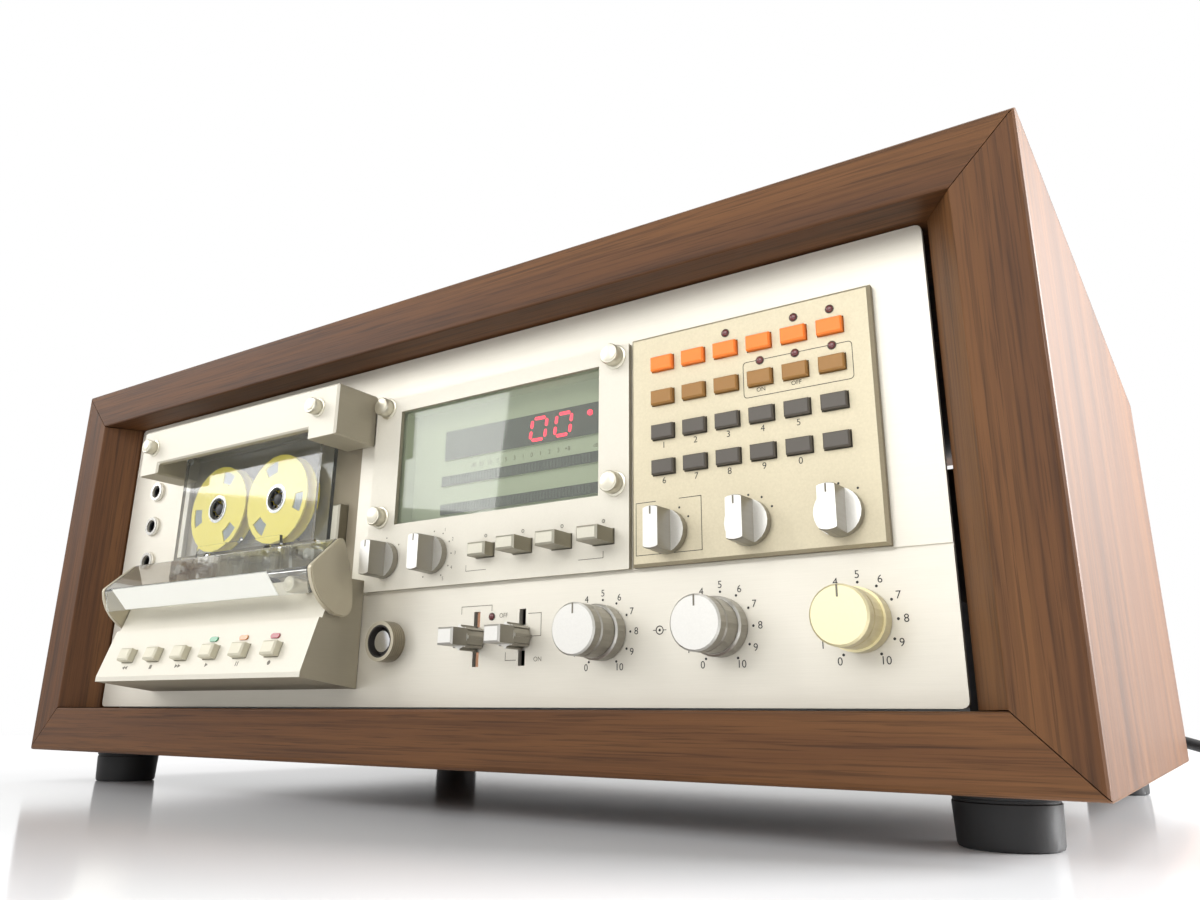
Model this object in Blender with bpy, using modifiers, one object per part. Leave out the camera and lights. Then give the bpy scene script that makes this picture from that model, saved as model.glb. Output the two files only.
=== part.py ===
"""Cassette deck in a walnut cabinet, with its controls, transport, cassette and mains cord.

Metres, +Z up, the front faces -Y. The origin is on the floor under the middle of the deck.
The front panel has its own frame: x runs right from its left edge, y runs up from its lower
edge and z runs forward from its face. An empty holds that frame in the world.
"""
from math import atan2, cos, hypot, pi, radians, sin, tau

import bmesh
import bpy
from mathutils import Matrix, Vector

# Clearances shared by all pieces
SEAT = 0.0003
RUN = 0.0004
OVERRUN = 0.002
MERGE = 0.00001

# Cabinet boards
WALL = 0.0200
CABINET_DEPTH = 0.3200
SIDE_LIP = 0.0103
LIP_DEPTH = 0.0300
MITRE_GAP = 0.0004
OUTER_ROUND = 0.0018
INNER_ROUND = 0.0008

# Feet
FOOT_HEIGHT = 0.0147
FOOT_TOP_RADIUS = 0.0145
FOOT_BOTTOM_RADIUS = 0.0137
FOOT_INSET_X = 0.0299
FOOT_INSET_Y = 0.0349
FOOT_ROUND = 0.0012
FOOT_RECESS_RADIUS = 0.0045
FOOT_RECESS_DEPTH = 0.0030

# Front panel, laid out from left to right and from the bottom up
PANEL_RECESS = 0.0154
PANEL_SIDE_GAP = 0.0020
PANEL_END_GAP = 0.0008
PANEL_THICKNESS = 0.0020
PANEL_CORNER = 0.0020
JACK_ZONE = 0.0420
CASSETTE_WIDTH = 0.1004
CASSETTE_SIDE_LEFT = 0.0153
CASSETTE_SIDE_RIGHT = 0.0243
PLATE_SPACING = 0.00175
DISPLAY_WIDTH = 0.1275
PROGRAM_WIDTH = 0.0865
RIGHT_MARGIN = 0.0165
LOWER_STRIP = 0.0445
PLATE_HEIGHT = 0.0820
TOP_STRIP = 0.0173

MODULE_WIDTH = CASSETTE_SIDE_LEFT + CASSETTE_WIDTH + CASSETTE_SIDE_RIGHT
PANEL_WIDTH = JACK_ZONE + MODULE_WIDTH + 2 * PLATE_SPACING + DISPLAY_WIDTH + PROGRAM_WIDTH + RIGHT_MARGIN
PANEL_HEIGHT = LOWER_STRIP + PLATE_HEIGHT + TOP_STRIP
MODULE_RIGHT = JACK_ZONE + MODULE_WIDTH
DISPLAY_X = MODULE_RIGHT + PLATE_SPACING
PROGRAM_X = DISPLAY_X + DISPLAY_WIDTH + PLATE_SPACING
CABINET_WIDTH = PANEL_WIDTH + 2 * (PANEL_SIDE_GAP + SIDE_LIP + WALL)
CABINET_HEIGHT = PANEL_HEIGHT + 2 * (PANEL_END_GAP + WALL)

# Seam across the right part of the panel
SEAM_WIDTH = 0.0008
SEAM_DEPTH = 0.0006

# Jack sockets at the left end of the panel
JACK_X = 0.0225
JACK_TOP_Z = 0.1070
JACK_PITCH = 0.0182
JACK_BORE = 0.00325
JACK_NUT_RADIUS = 0.0050
JACK_NUT_REACH = 0.0014
JACK_LENGTH = 0.0160

# Transport bay: the bridge, the housing below it and the plate behind the cassette
BRIDGE_TOP = 0.1300
BRIDGE_HEIGHT = 0.0225
BRIDGE_DEPTH = 0.0230
BRIDGE_ARCH_RISE = 0.0050
BRIDGE_LEG_LEFT = 0.0143
BRIDGE_LEG_RIGHT = 0.0173
BRIDGE_WALL = 0.0035
BRIDGE_EDGE = 0.0008

HOUSING_REAR_FOOT = 0.0070
HOUSING_LIP_FOOT = 0.0105
HOUSING_LIP_HEIGHT = 0.0020
HOUSING_REACH = 0.0288
BUTTON_PLATE_RISE = 0.0208
BUTTON_PLATE_RUN = 0.0068
HOUSING_STEP = 0.0015
HOUSING_TOP = 0.0500
HOUSING_TOP_REACH = 0.0150
HOUSING_WALL = 0.0020
HOUSING_LIP_WALL = 0.0030

# Head cover, hinged at the sides of the housing
COVER_PIVOT_REACH = 0.0120
COVER_PIVOT_Z = 0.0390
COVER_PIN_RADIUS = 0.0018
COVER_EYE_RADIUS = 0.0050
COVER_CHEEK = 0.0028
COVER_CHEEK_GAP = 0.0005
COVER_SHEET = 0.0020
COVER_FRONT_REACH = 0.0310
COVER_FRONT_Z = 0.0545
COVER_TOP_REACH = 0.0135
COVER_TOP_Z = 0.0690
COVER_STRIP_DROP = 0.0115
COVER_STRIP_RUN = 0.0020

# The deck's foremost point is the head cover's front edge
FRONT_REACH = COVER_FRONT_REACH - PANEL_RECESS
CABINET_FRONT_Y = (FRONT_REACH - CABINET_DEPTH) / 2
CABINET_REAR_Y = CABINET_FRONT_Y + CABINET_DEPTH
PANEL_LEFT_X = -PANEL_WIDTH / 2
PANEL_FRONT_Y = CABINET_FRONT_Y + PANEL_RECESS
PANEL_FOOT_Z = FOOT_HEIGHT + WALL + PANEL_END_GAP

# Transport buttons
BUTTON_COUNT = 6
BUTTON_PITCH = 0.0199
BUTTON_WIDTH = 0.0082
BUTTON_HEIGHT = 0.0056
BUTTON_TRAVEL = 0.0025
BUTTON_PRESSED_REACH = 0.0010
BUTTON_REACH = BUTTON_PRESSED_REACH + BUTTON_TRAVEL
BUTTON_FLANGE = 0.0012
BUTTON_FLANGE_THICKNESS = 0.0010
BUTTON_STEM = 0.0070
BUTTON_EDGE = 0.0007
BUTTON_HEIGHT_SHARE = 0.42

# Compact cassette, standard sizes
CASSETTE_HEIGHT = 0.0638
CASSETTE_THICKNESS = 0.0087
CASSETTE_THICK_END = 0.0120
CASSETTE_THICK_MARGIN = 0.0182
CASSETTE_THICK_HEIGHT = 0.0165
CASSETTE_CORNER = 0.0025
CASSETTE_WALL = 0.0010
CASSETTE_FOOT_Z = 0.0555
REEL_SIDE_MARGIN = 0.00845
REEL_GAP = 0.0015
REEL_DROP = 0.0298
REEL_BORE = 0.0048
REEL_FLANGE = 0.0008
REEL_WINDOWS = 3
REEL_WINDOW_INNER_SHARE = 0.60
REEL_WINDOW_OUTER_SHARE = 0.88
REEL_WINDOW_HALF_ANGLE = radians(15)
CAPSTAN_MARGIN = 0.0102
CAPSTAN_RISE = 0.0098
CAPSTAN_HOLE_RADIUS = 0.0031
CAPSTAN_RADIUS = 0.0012

# Bay plate and the mechanism's frame behind it
BAY_MARGIN = 0.0040
BAY_FOOT_Z = 0.0300
BAY_HEIGHT = 0.0940
FRAME_SHEET = 0.0018
FRAME_DEPTH = 0.0420
BEARING_RADIUS = 0.0040
BEARING_LENGTH = 0.0060
LOCATING_PIN_RADIUS = 0.0022
LOCATING_PIN_LENGTH = 0.0060
LOCATING_PIN_MARGIN = 0.0102
LOCATING_PIN_RISE = 0.0070
SPINDLE_RADIUS = 0.0028
SPINDLE_TOOTH = 0.0013
SPINDLE_TOOTH_WIDTH = 0.0012
SPINDLE_TEETH = 3
SPINDLE_COLLAR = 0.0042
SPINDLE_TABLE_RADIUS = 0.0150
SPINDLE_TABLE_THICKNESS = 0.0030
SPINDLE_REACH = 0.0050
FLYWHEEL_RADIUS = 0.0300
FLYWHEEL_WIDTH = 0.0060
FLYWHEEL_WEB = 0.0030
FLYWHEEL_RIM = 0.0060
BELT_THICKNESS = 0.0008
BELT_WIDTH = 0.0040
PULLEY_RADIUS = 0.0050
MOTOR_RADIUS = 0.0165
MOTOR_LENGTH = 0.0180
MOTOR_X = 0.0720
MOTOR_Z = 0.0560
HEAD_BLOCK_MARGIN = 0.0048
ROLLER_RADIUS = 0.0052
ROLLER_WIDTH = 0.0040
ROLLER_PIN = 0.0012

POWER_GAP = 0.0053
POWER_Z = 0.0680
POWER_WIDTH = 0.0046
POWER_HEIGHT = 0.0160
POWER_TRAVEL = 0.0030
POWER_PRESSED_REACH = 0.0020
POWER_REACH = POWER_PRESSED_REACH + POWER_TRAVEL

# Display plate, window and display unit
PLATE_THICKNESS = 0.0017
PLATE_EDGE = 0.0005
WINDOW_MIDDLE_X = 0.0647
WINDOW_WIDTH = 0.1000
WINDOW_FOOT = 0.0270
WINDOW_HEIGHT = 0.0485
WINDOW_SHEET = 0.0012
WINDOW_SEAT = 0.0012
DISPLAY_RECESS = 0.0085
DISPLAY_WALL = 0.0020
DISPLAY_DEPTH = 0.0240
COUNTER_LEFT = 0.0178
COUNTER_RIGHT = 0.0042
COUNTER_Z = 0.0533
COUNTER_HEIGHT = 0.0124
COUNTER_REACH = 0.0010
BAR_LEFT = 0.0168
BAR_RIGHT = 0.0052
BAR_Z = 0.0305
BAR_PITCH = 0.0118
BAR_HEIGHT = 0.0043

# Knobs with a bar grip on the display plate and the program panel
BAR_KNOB_RADIUS = 0.0074
BAR_KNOB_HEIGHT = 0.0115
BAR_KNOB_SKIRT = 0.0030
BAR_KNOB_GRIP = 0.0054
BAR_KNOB_EDGE = 0.0006
SHAFT_RADIUS = 0.0030
SHAFT_CLEARANCE = 0.0005
SHAFT_LENGTH = 0.0120
SMALL_KNOB_Z = 0.0125
SPEED_KNOB_X = 0.0113
BIAS_KNOB_X = 0.0375

# Interlocked tape selector buttons on the display plate
SELECTOR_COUNT = 4
SELECTOR_X = 0.0640
SELECTOR_PITCH = 0.0177
SELECTOR_Z = 0.0120
SELECTOR_WIDTH = 0.0085
SELECTOR_HEIGHT = 0.0050
SELECTOR_REACH = 0.0110
SELECTOR_TRAVEL = 0.0050
SELECTOR_LENGTH = 0.0260
SELECTOR_STOP = 0.0010

# Program panel with its keys
PROGRAM_THICKNESS = 0.0030
PROGRAM_CHAMFER = 0.0010
KEY_COLUMN_COUNT = 6
KEY_ROW_COUNT = 2
KEY_WIDTH = 0.0083
KEY_HEIGHT = 0.0050
KEY_PITCH_X = 0.01207
KEY_PITCH_Z = 0.01240
KEY_LEFT = 0.0130
KEY_FOOT = 0.0333
KEY_TRAVEL = 0.0008
KEY_PRESSED_REACH = 0.0011
KEY_REACH = KEY_PRESSED_REACH + KEY_TRAVEL
KEY_EDGE = 0.0004
KEY_MAT = 0.0012
KEY_MAT_MARGIN = 0.0015
PROGRAM_KNOB_X = 0.0140
PROGRAM_KNOB_PITCH = 0.0293
PROGRAM_KNOB_Z = 0.0110

# Lower strip: record mute, lever switches and level knobs
MUTE_OFFSET = 0.0175
MUTE_Z = 0.0246
MUTE_COLLAR_RADIUS = 0.0076
MUTE_COLLAR_WALL = 0.0018
MUTE_COLLAR_REACH = 0.0062
MUTE_RECESS = 0.0014
LEVER_OFFSET = 0.0616
LEVER_PITCH = 0.0214
LEVER_Z = 0.0242
LEVER_SLOT_WIDTH = 0.0030
LEVER_TRAVEL = 0.0060
LEVER_TANG_HEIGHT = 0.0060
LEVER_SLOT_END = 0.0010
LEVER_STOP = 0.0015
LEVER_RADIUS = 0.0046
LEVER_BODY = 0.0095
LEVER_TIP = 0.0080
LEVER_TIP_WIDTH = 0.0072
LEVER_TIP_HEIGHT = 0.0062
LEVER_RIBS = 8
LEVER_RIB_SHARE = 0.88
LEVEL_OFFSET = 0.1175
LEVEL_PITCH = 0.0443
LEVEL_Z = 0.0243
LEVEL_RADIUS = 0.0093
LEVEL_REAR = 0.0056
LEVEL_FRONT_RADIUS = 0.0086
LEVEL_HEIGHT = 0.0180
LEVEL_EDGE = 0.0006
LEVEL_GROOVE = 0.0004
SLEEVE_RADIUS = 0.0030
INNER_SHAFT_RADIUS = 0.0018

# Chassis tray with its rear wall
TRAY_SHEET = 0.0012
TRAY_SIDE_GAP = 0.0040
TRAY_REAR_RECESS = 0.0140
TRAY_TOP_GAP = 0.0060
TRAY_SIDE_HEIGHT = 0.0300
TRAY_FRONT_GAP = 0.0060
PHONO_RADIUS = 0.0042
PHONO_BORE = 0.0016
PHONO_REACH = 0.0090
PHONO_PITCH = 0.0180
PHONO_X = 0.0700
PHONO_Z = 0.0550
GLAND_X = 0.3700
GLAND_Z = 0.0450
GLAND_RADIUS = 0.0055
GLAND_FLANGE = 0.0080
GLAND_FLANGE_THICKNESS = 0.0020
GLAND_LENGTH = 0.0280
GLAND_TIP_RADIUS = 0.0040

# Transformer and main circuit board
TRANSFORMER_X = 0.3400
TRANSFORMER_Y = 0.2300
TRANSFORMER_WIDTH = 0.0700
TRANSFORMER_DEPTH = 0.0580
TRANSFORMER_STACK = 0.0340
TRANSFORMER_HEIGHT = 0.0600
TRANSFORMER_WINDING = 0.0420
TRANSFORMER_FOOT = 0.0100
TRANSFORMER_FOOT_THICKNESS = 0.0020
BOARD_X = 0.0300
BOARD_Y = 0.0900
BOARD_WIDTH = 0.2500
BOARD_DEPTH = 0.1700
BOARD_THICKNESS = 0.0016
BOARD_STANDOFF = 0.0080
BOARD_STANDOFF_RADIUS = 0.0035
BOARD_STANDOFF_INSET = 0.0080
CAPACITOR_RADIUS = 0.0110
CAPACITOR_HEIGHT = 0.0320
CAPACITOR_PITCH = 0.0300
HEAT_SINK_WIDTH = 0.0700
HEAT_SINK_HEIGHT = 0.0380
HEAT_SINK_FIN = 0.0018
HEAT_SINK_FINS = 6
HEAT_SINK_DEPTH = 0.0160

# Mains cord: the free stretch by hand, from the gland to the start of the coil
CORD_RADIUS = 0.0030
CORD_POINTS = 22
COIL_MEAN_RADIUS = 0.0360
COIL_PITCH = 0.0066
COIL_TURNS_PER_LAYER = 3.5
COIL_POINTS = 24
PLUG_LENGTH = 0.0380
PLUG_RADIUS = 0.0130
PLUG_NECK_RADIUS = 0.0050
PLUG_PIN_RADIUS = 0.0020
PLUG_PIN_LENGTH = 0.0185
PLUG_PIN_SPACING = 0.0190

WALNUT = (0.20, 0.09, 0.045)
CHAMPAGNE = (0.80, 0.76, 0.66)
PLATE_CREAM = (0.86, 0.83, 0.74)
TAUPE = (0.42, 0.38, 0.31)
SILVER = (0.78, 0.77, 0.74)
CHROME = (0.85, 0.85, 0.86)
CREAM = (0.86, 0.80, 0.60)
BLACK = (0.02, 0.02, 0.02)
YELLOW = (0.90, 0.80, 0.22)
CLEAR = (0.88, 0.90, 0.90)
SMOKE = (0.30, 0.34, 0.30)
STEEL = (0.50, 0.51, 0.52)
BRASS = (0.65, 0.50, 0.22)
CIRCUIT = (0.05, 0.22, 0.08)


def fresh_collections():
    for obj in list(bpy.data.objects):
        bpy.data.objects.remove(obj, do_unlink=True)
    parts = bpy.data.collections.new("cassette_deck")
    tools = bpy.data.collections.new("cutters")
    bpy.context.scene.collection.children.link(parts)
    bpy.context.scene.collection.children.link(tools)
    return parts, tools


PARTS, TOOLS = fresh_collections()


def empty(name, location, rotation=(0, 0, 0), parent=None):
    obj = bpy.data.objects.new(name, None)
    obj.location = location
    obj.rotation_euler = rotation
    obj.parent = parent
    PARTS.objects.link(obj)
    return obj


def material(name, colour, roughness=0.5, metallic=0.0):
    found = bpy.data.materials.get(name)
    if found:
        return found
    made = bpy.data.materials.new(name)
    made.use_nodes = True
    shader = made.node_tree.nodes["Principled BSDF"]
    shader.inputs["Base Color"].default_value = (*colour, 1)
    shader.inputs["Roughness"].default_value = roughness
    shader.inputs["Metallic"].default_value = metallic
    made.diffuse_color = (*colour, 1)
    return made


def place(mesh, name, parent=None, location=(0, 0, 0), rotation=(0, 0, 0), tool=False):
    obj = bpy.data.objects.new(name, mesh)
    obj.parent = parent
    obj.location = location
    obj.rotation_euler = rotation
    (TOOLS if tool else PARTS).objects.link(obj)
    if tool:
        obj.hide_render = True
        obj.display_type = "WIRE"
    return obj


def paint(obj, name, colour, roughness=0.5, metallic=0.0, smooth=False):
    obj.data.materials.clear()
    obj.data.materials.append(material(name, colour, roughness, metallic))
    if smooth:
        obj.data.shade_smooth()
        obj.data.set_sharp_from_angle(angle=radians(35))
    return obj


def boxes_mesh(name, spans):
    """One mesh of boxes, each given as (x0, x1, y0, y1, z0, z1)."""
    built = bmesh.new()
    for x0, x1, y0, y1, z0, z1 in spans:
        size = Matrix.Diagonal((x1 - x0, y1 - y0, z1 - z0, 1))
        middle = Matrix.Translation(((x0 + x1) / 2, (y0 + y1) / 2, (z0 + z1) / 2))
        bmesh.ops.create_cube(built, size=1, matrix=middle @ size)
    mesh = bpy.data.meshes.new(name)
    built.to_mesh(mesh)
    built.free()
    return mesh


def rods_mesh(name, rods, sides=12):
    """One mesh of round rods along z, each given as (x, y, radius, z0, z1)."""
    built = bmesh.new()
    for x, y, radius, z0, z1 in rods:
        middle = Matrix.Translation((x, y, (z0 + z1) / 2))
        bmesh.ops.create_cone(built, cap_ends=True, segments=sides, radius1=radius, radius2=radius,
                              depth=z1 - z0, matrix=middle)
    mesh = bpy.data.meshes.new(name)
    built.to_mesh(mesh)
    built.free()
    return mesh


def slab_mesh(name, loops, z0, z1):
    """A flat outline in x and y, the rest of the loops being its holes, as a slab from z0 to z1."""
    curve = bpy.data.curves.new(name + "_outline", "CURVE")
    curve.dimensions = "2D"
    curve.fill_mode = "BOTH"
    curve.extrude = (z1 - z0) / 2
    for loop in loops:
        spline = curve.splines.new("POLY")
        spline.points.add(len(loop) - 1)
        for point, (x, y) in zip(spline.points, loop):
            point.co = (x, y, 0, 1)
        spline.use_cyclic_u = True
    holder = bpy.data.objects.new(name + "_outline", curve)
    TOOLS.objects.link(holder)
    bpy.context.view_layer.update()
    solid = bpy.data.meshes.new_from_object(holder.evaluated_get(bpy.context.evaluated_depsgraph_get()))
    bpy.data.objects.remove(holder)
    built = bmesh.new()
    built.from_mesh(solid)
    bmesh.ops.remove_doubles(built, verts=built.verts, dist=MERGE)
    bmesh.ops.dissolve_degenerate(built, dist=MERGE / 10, edges=built.edges)
    bmesh.ops.translate(built, verts=built.verts, vec=(0, 0, (z0 + z1) / 2))
    bmesh.ops.recalc_face_normals(built, faces=built.faces)
    built.to_mesh(solid)
    built.free()
    solid.name = name
    return solid


def turned_mesh(name, profile, steps=24):
    """A profile of (radius, z) points spun round z; both ends lie on the axis or the loop closes."""
    built = bmesh.new()
    points = [built.verts.new((radius, 0, z)) for radius, z in profile]
    for first, second in zip(points, points[1:]):
        built.edges.new((first, second))
    if profile[0][0] > 0:
        built.edges.new((points[-1], points[0]))
    wire = bpy.data.meshes.new(name + "_profile")
    built.to_mesh(wire)
    built.free()
    holder = bpy.data.objects.new(name + "_profile", wire)
    TOOLS.objects.link(holder)
    screw = holder.modifiers.new("spin", "SCREW")
    screw.steps = steps
    screw.render_steps = steps
    screw.use_merge_vertices = True
    screw.merge_threshold = MERGE
    bpy.context.view_layer.update()
    solid = bpy.data.meshes.new_from_object(holder.evaluated_get(bpy.context.evaluated_depsgraph_get()))
    bpy.data.objects.remove(holder)
    built = bmesh.new()
    built.from_mesh(solid)
    bmesh.ops.recalc_face_normals(built, faces=built.faces)
    built.to_mesh(solid)
    built.free()
    solid.name = name
    return solid


def rounded(corners, radii, steps=3):
    """The outline through the corners, each turned by its own radius."""
    outline = []
    count = len(corners)
    for index, radius in enumerate(radii):
        before = Vector(corners[index - 1])
        here = Vector(corners[index])
        after = Vector(corners[(index + 1) % count])
        if radius <= 0:
            outline.append(tuple(here))
            continue
        inward = (before - here).normalized()
        onward = (after - here).normalized()
        half = inward.angle(onward) / 2
        reach = radius / abs(sin(half) / cos(half))
        middle = here + (inward + onward).normalized() * (radius / sin(half))
        start = here + inward * reach - middle
        turn = start.angle_signed(here + onward * reach - middle)
        for step in range(steps + 1):
            angle = -turn * step / steps
            spun = Vector((start.x * cos(angle) - start.y * sin(angle),
                           start.x * sin(angle) + start.y * cos(angle)))
            outline.append(tuple(middle + spun))
    return outline


def rectangle(x0, x1, y0, y1):
    return [(x0, y0), (x1, y0), (x1, y1), (x0, y1)]


def circle(x, y, radius, sides=12):
    return [(x + radius * cos(tau * k / sides), y + radius * sin(tau * k / sides)) for k in range(sides)]


def cut(obj, name, mesh, operation="DIFFERENCE", **spot):
    """A Boolean with a hidden tool that sits in the same frame as the object, unless told otherwise."""
    spot.setdefault("parent", obj.parent)
    spot.setdefault("location", obj.location)
    spot.setdefault("rotation", obj.rotation_euler)
    tool = place(mesh, name, tool=True, **spot)
    modifier = obj.modifiers.new(name, "BOOLEAN")
    modifier.operation = operation
    modifier.solver = "EXACT"
    modifier.object = tool
    return tool


def fuse(obj, name, mesh, **spot):
    return cut(obj, name, mesh, operation="UNION", **spot)


def soften(obj, width, segments=1, angle=40):
    bevel = obj.modifiers.new("edges", "BEVEL")
    bevel.width = width
    bevel.segments = segments
    bevel.limit_method = "ANGLE"
    bevel.angle_limit = radians(angle)
    return obj


PANEL = empty("panel_frame", (PANEL_LEFT_X, PANEL_FRONT_Y, PANEL_FOOT_Z), (pi / 2, 0, 0))
# Side views are drawn in (forward, up) and run along x: their frame turns z onto the panel's x
SIDE_TURN = (0, -pi / 2, 0)


def make_cabinet():
    half = CABINET_WIDTH / 2
    front = CABINET_FRONT_Y
    rear = CABINET_REAR_Y
    foot = FOOT_HEIGHT
    top = FOOT_HEIGHT + CABINET_HEIGHT
    wall = (WALNUT, 0.45)
    for side, name in ((-1, "cabinet_left_side"), (1, "cabinet_right_side")):
        outer = side * half
        inner = side * (half - WALL)
        lip = side * (half - WALL - SIDE_LIP)
        corners = [(outer, front), (inner, front), (lip, front + PANEL_RECESS), (lip, front + LIP_DEPTH),
                   (inner, front + LIP_DEPTH), (inner, rear), (outer, rear)]
        radii = [OUTER_ROUND, INNER_ROUND, INNER_ROUND, 0, 0, 0, INNER_ROUND]
        board = place(slab_mesh(name, [rounded(corners, radii)], foot, top), name)
        past = WALL + SIDE_LIP + OVERRUN
        for end, level in ((1, foot), (-1, top)):
            ends = [(outer + side * OVERRUN, level + end * (MITRE_GAP - OVERRUN)),
                    (inner, level + end * (WALL + MITRE_GAP)),
                    (side * (half - past), level + end * (WALL + MITRE_GAP)),
                    (side * (half - past), level - end * OVERRUN),
                    (outer + side * OVERRUN, level - end * OVERRUN * 2)]
            mesh = slab_mesh("mitre", [ends], front - OVERRUN, rear + OVERRUN)
            cut(board, f"{name}_mitre_{'top' if end < 0 else 'foot'}", mesh,
                rotation=(pi / 2, 0, 0), location=(0, front + rear, 0))
        paint(board, "walnut", *wall)
    for end, name, level in ((1, "cabinet_bottom", foot), (-1, "cabinet_top", top)):
        corners = [(front, level), (front, level + end * WALL), (rear, level + end * WALL), (rear, level)]
        section = rounded(corners, [OUTER_ROUND, INNER_ROUND, 0, INNER_ROUND])
        mesh = slab_mesh(name, [section], -half, half)
        board = place(mesh, name, rotation=(pi / 2, 0, pi / 2))
        for side in (-1, 1):
            ends = [(side * (half + OVERRUN), level - end * OVERRUN),
                    (side * (half - WALL - OVERRUN), level + end * (WALL + OVERRUN)),
                    (side * (half + OVERRUN), level + end * (WALL + OVERRUN))]
            mesh = slab_mesh("mitre", [ends], front - OVERRUN, rear + OVERRUN)
            cut(board, f"{name}_mitre_{'left' if side < 0 else 'right'}", mesh,
                rotation=(pi / 2, 0, 0), location=(0, front + rear, 0))
        paint(board, "walnut", *wall)


def make_feet():
    profile = [(0, FOOT_HEIGHT - SEAT), (FOOT_TOP_RADIUS, FOOT_HEIGHT - SEAT),
               (FOOT_BOTTOM_RADIUS, FOOT_ROUND), (FOOT_BOTTOM_RADIUS - FOOT_ROUND, 0),
               (FOOT_RECESS_RADIUS, 0), (FOOT_RECESS_RADIUS, FOOT_RECESS_DEPTH), (0, FOOT_RECESS_DEPTH)]
    for row, y in (("front", CABINET_FRONT_Y + FOOT_INSET_Y), ("rear", CABINET_REAR_Y - FOOT_INSET_Y)):
        for side, sign in (("left", -1), ("right", 1)):
            name = f"foot_{row}_{side}"
            foot = place(turned_mesh(name, profile), name,
                         location=(sign * (CABINET_WIDTH / 2 - FOOT_INSET_X), y, 0))
            paint(foot, "black_rubber", BLACK, 0.7, smooth=True)


def tower(built, x, y, sections):
    """Extrude one rectangle through the sections, each a (half width, half height, z)."""
    half_x, half_y, z = sections[0]
    ring = [built.verts.new((x + i * half_x, y + j * half_y, z)) for i, j in ((-1, -1), (-1, 1), (1, 1), (1, -1))]
    foot = face = built.faces.new(ring)
    for half_x, half_y, z in sections[1:]:
        below = face
        grown = bmesh.ops.extrude_face_region(built, geom=[below])["geom"]
        face = next(item for item in grown if isinstance(item, bmesh.types.BMFace))
        if below is not foot and below.is_valid:
            built.faces.remove(below)
        middle = face.calc_center_median()
        for vert in face.verts:
            vert.co = (x + (half_x if vert.co.x > middle.x else -half_x),
                       y + (half_y if vert.co.y > middle.y else -half_y), z)


def towers_mesh(name, places, sections):
    built = bmesh.new()
    for x, y in places:
        tower(built, x, y, sections)
    bmesh.ops.recalc_face_normals(built, faces=built.faces)
    mesh = bpy.data.meshes.new(name)
    built.to_mesh(mesh)
    built.free()
    return mesh


def capped(half_x, half_y, bottom, top, edge):
    """Sections of a block whose top edge is chamfered."""
    return [(half_x, half_y, bottom), (half_x, half_y, top - edge), (half_x - edge, half_y - edge, top)]


def toothed(radius, tip, count, half_tooth, steps=2, turn=0.0):
    """A circle with teeth: outwards where the tip is larger than the radius, inwards where smaller."""
    outline = []
    for tooth in range(count):
        middle = tau * tooth / count + turn
        for reach, side in ((radius, -1), (tip, -1), (tip, 1), (radius, 1)):
            angle = middle + side * half_tooth / reach
            outline.append((reach * cos(angle), reach * sin(angle)))
        start = middle + half_tooth / radius
        stop = middle + tau / count - half_tooth / radius
        for step in range(1, steps):
            angle = start + (stop - start) * step / steps
            outline.append((radius * cos(angle), radius * sin(angle)))
    return outline


def inset(corners, walls):
    """Move each edge of an outline to its left by its own wall and meet the neighbours again."""
    count = len(corners)
    lines = []
    for index, wall in enumerate(walls):
        start = Vector(corners[index])
        along = (Vector(corners[(index + 1) % count]) - start).normalized()
        lines.append((start + Vector((-along.y, along.x)) * wall, along))
    outline = []
    for index in range(count):
        (first, one), (second, two) = lines[index - 1], lines[index]
        gap = second - first
        share = (gap.x * two.y - gap.y * two.x) / (one.x * two.y - one.y * two.x)
        outline.append(tuple(first + one * share))
    return outline


CASSETTE_X = JACK_ZONE + CASSETTE_SIDE_LEFT
CASSETTE_MIDDLE_X = CASSETTE_X + CASSETTE_WIDTH / 2
CASSETTE_THICK_WIDTH = CASSETTE_WIDTH - 2 * CASSETTE_THICK_MARGIN
CAPSTAN_OFFSET = CASSETTE_THICK_WIDTH / 2 - CAPSTAN_MARGIN
CAPSTAN_X = CASSETTE_MIDDLE_X + CAPSTAN_OFFSET
CAPSTAN_Z = CASSETTE_FOOT_Z + CAPSTAN_RISE
LOCATING_PIN_OFFSET = CASSETTE_WIDTH / 2 - LOCATING_PIN_MARGIN
HEAD_BLOCK_WIDTH = 2 * (CAPSTAN_OFFSET - HEAD_BLOCK_MARGIN)
POWER_X = CASSETTE_X + CASSETTE_WIDTH + POWER_GAP
REEL_Z = CASSETTE_FOOT_Z + CASSETTE_HEIGHT - REEL_DROP

# The reels fill the shell's width, or its height above the capstans where that leaves less
REEL_RADIUS = min((CASSETTE_WIDTH - 2 * REEL_SIDE_MARGIN - REEL_GAP) / 4,
                  REEL_Z - CAPSTAN_Z - CAPSTAN_HOLE_RADIUS - 2 * SEAT)
REEL_SPACING = 2 * REEL_RADIUS + REEL_GAP
BAY_FRONT = -(PANEL_THICKNESS + SEAT)
CASSETTE_REAR = BAY_FRONT + SEAT
CASSETTE_MID = CASSETTE_REAR + CASSETTE_THICK_END / 2
BAY_REAR = BAY_FRONT - FRAME_SHEET
PLATE_FRONT = SEAT + PLATE_THICKNESS
PROGRAM_FRONT = SEAT + PROGRAM_THICKNESS
BUTTON_TILT = atan2(BUTTON_PLATE_RUN, BUTTON_PLATE_RISE)
BUTTON_PLATE_FOOT = HOUSING_LIP_FOOT + HOUSING_LIP_HEIGHT
BUTTON_PLATE_TOP = BUTTON_PLATE_FOOT + BUTTON_PLATE_RISE
BUTTON_SPAN = hypot(BUTTON_PLATE_RISE, BUTTON_PLATE_RUN)
SHAFT_HOLE = SHAFT_RADIUS + SHAFT_CLEARANCE
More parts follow.
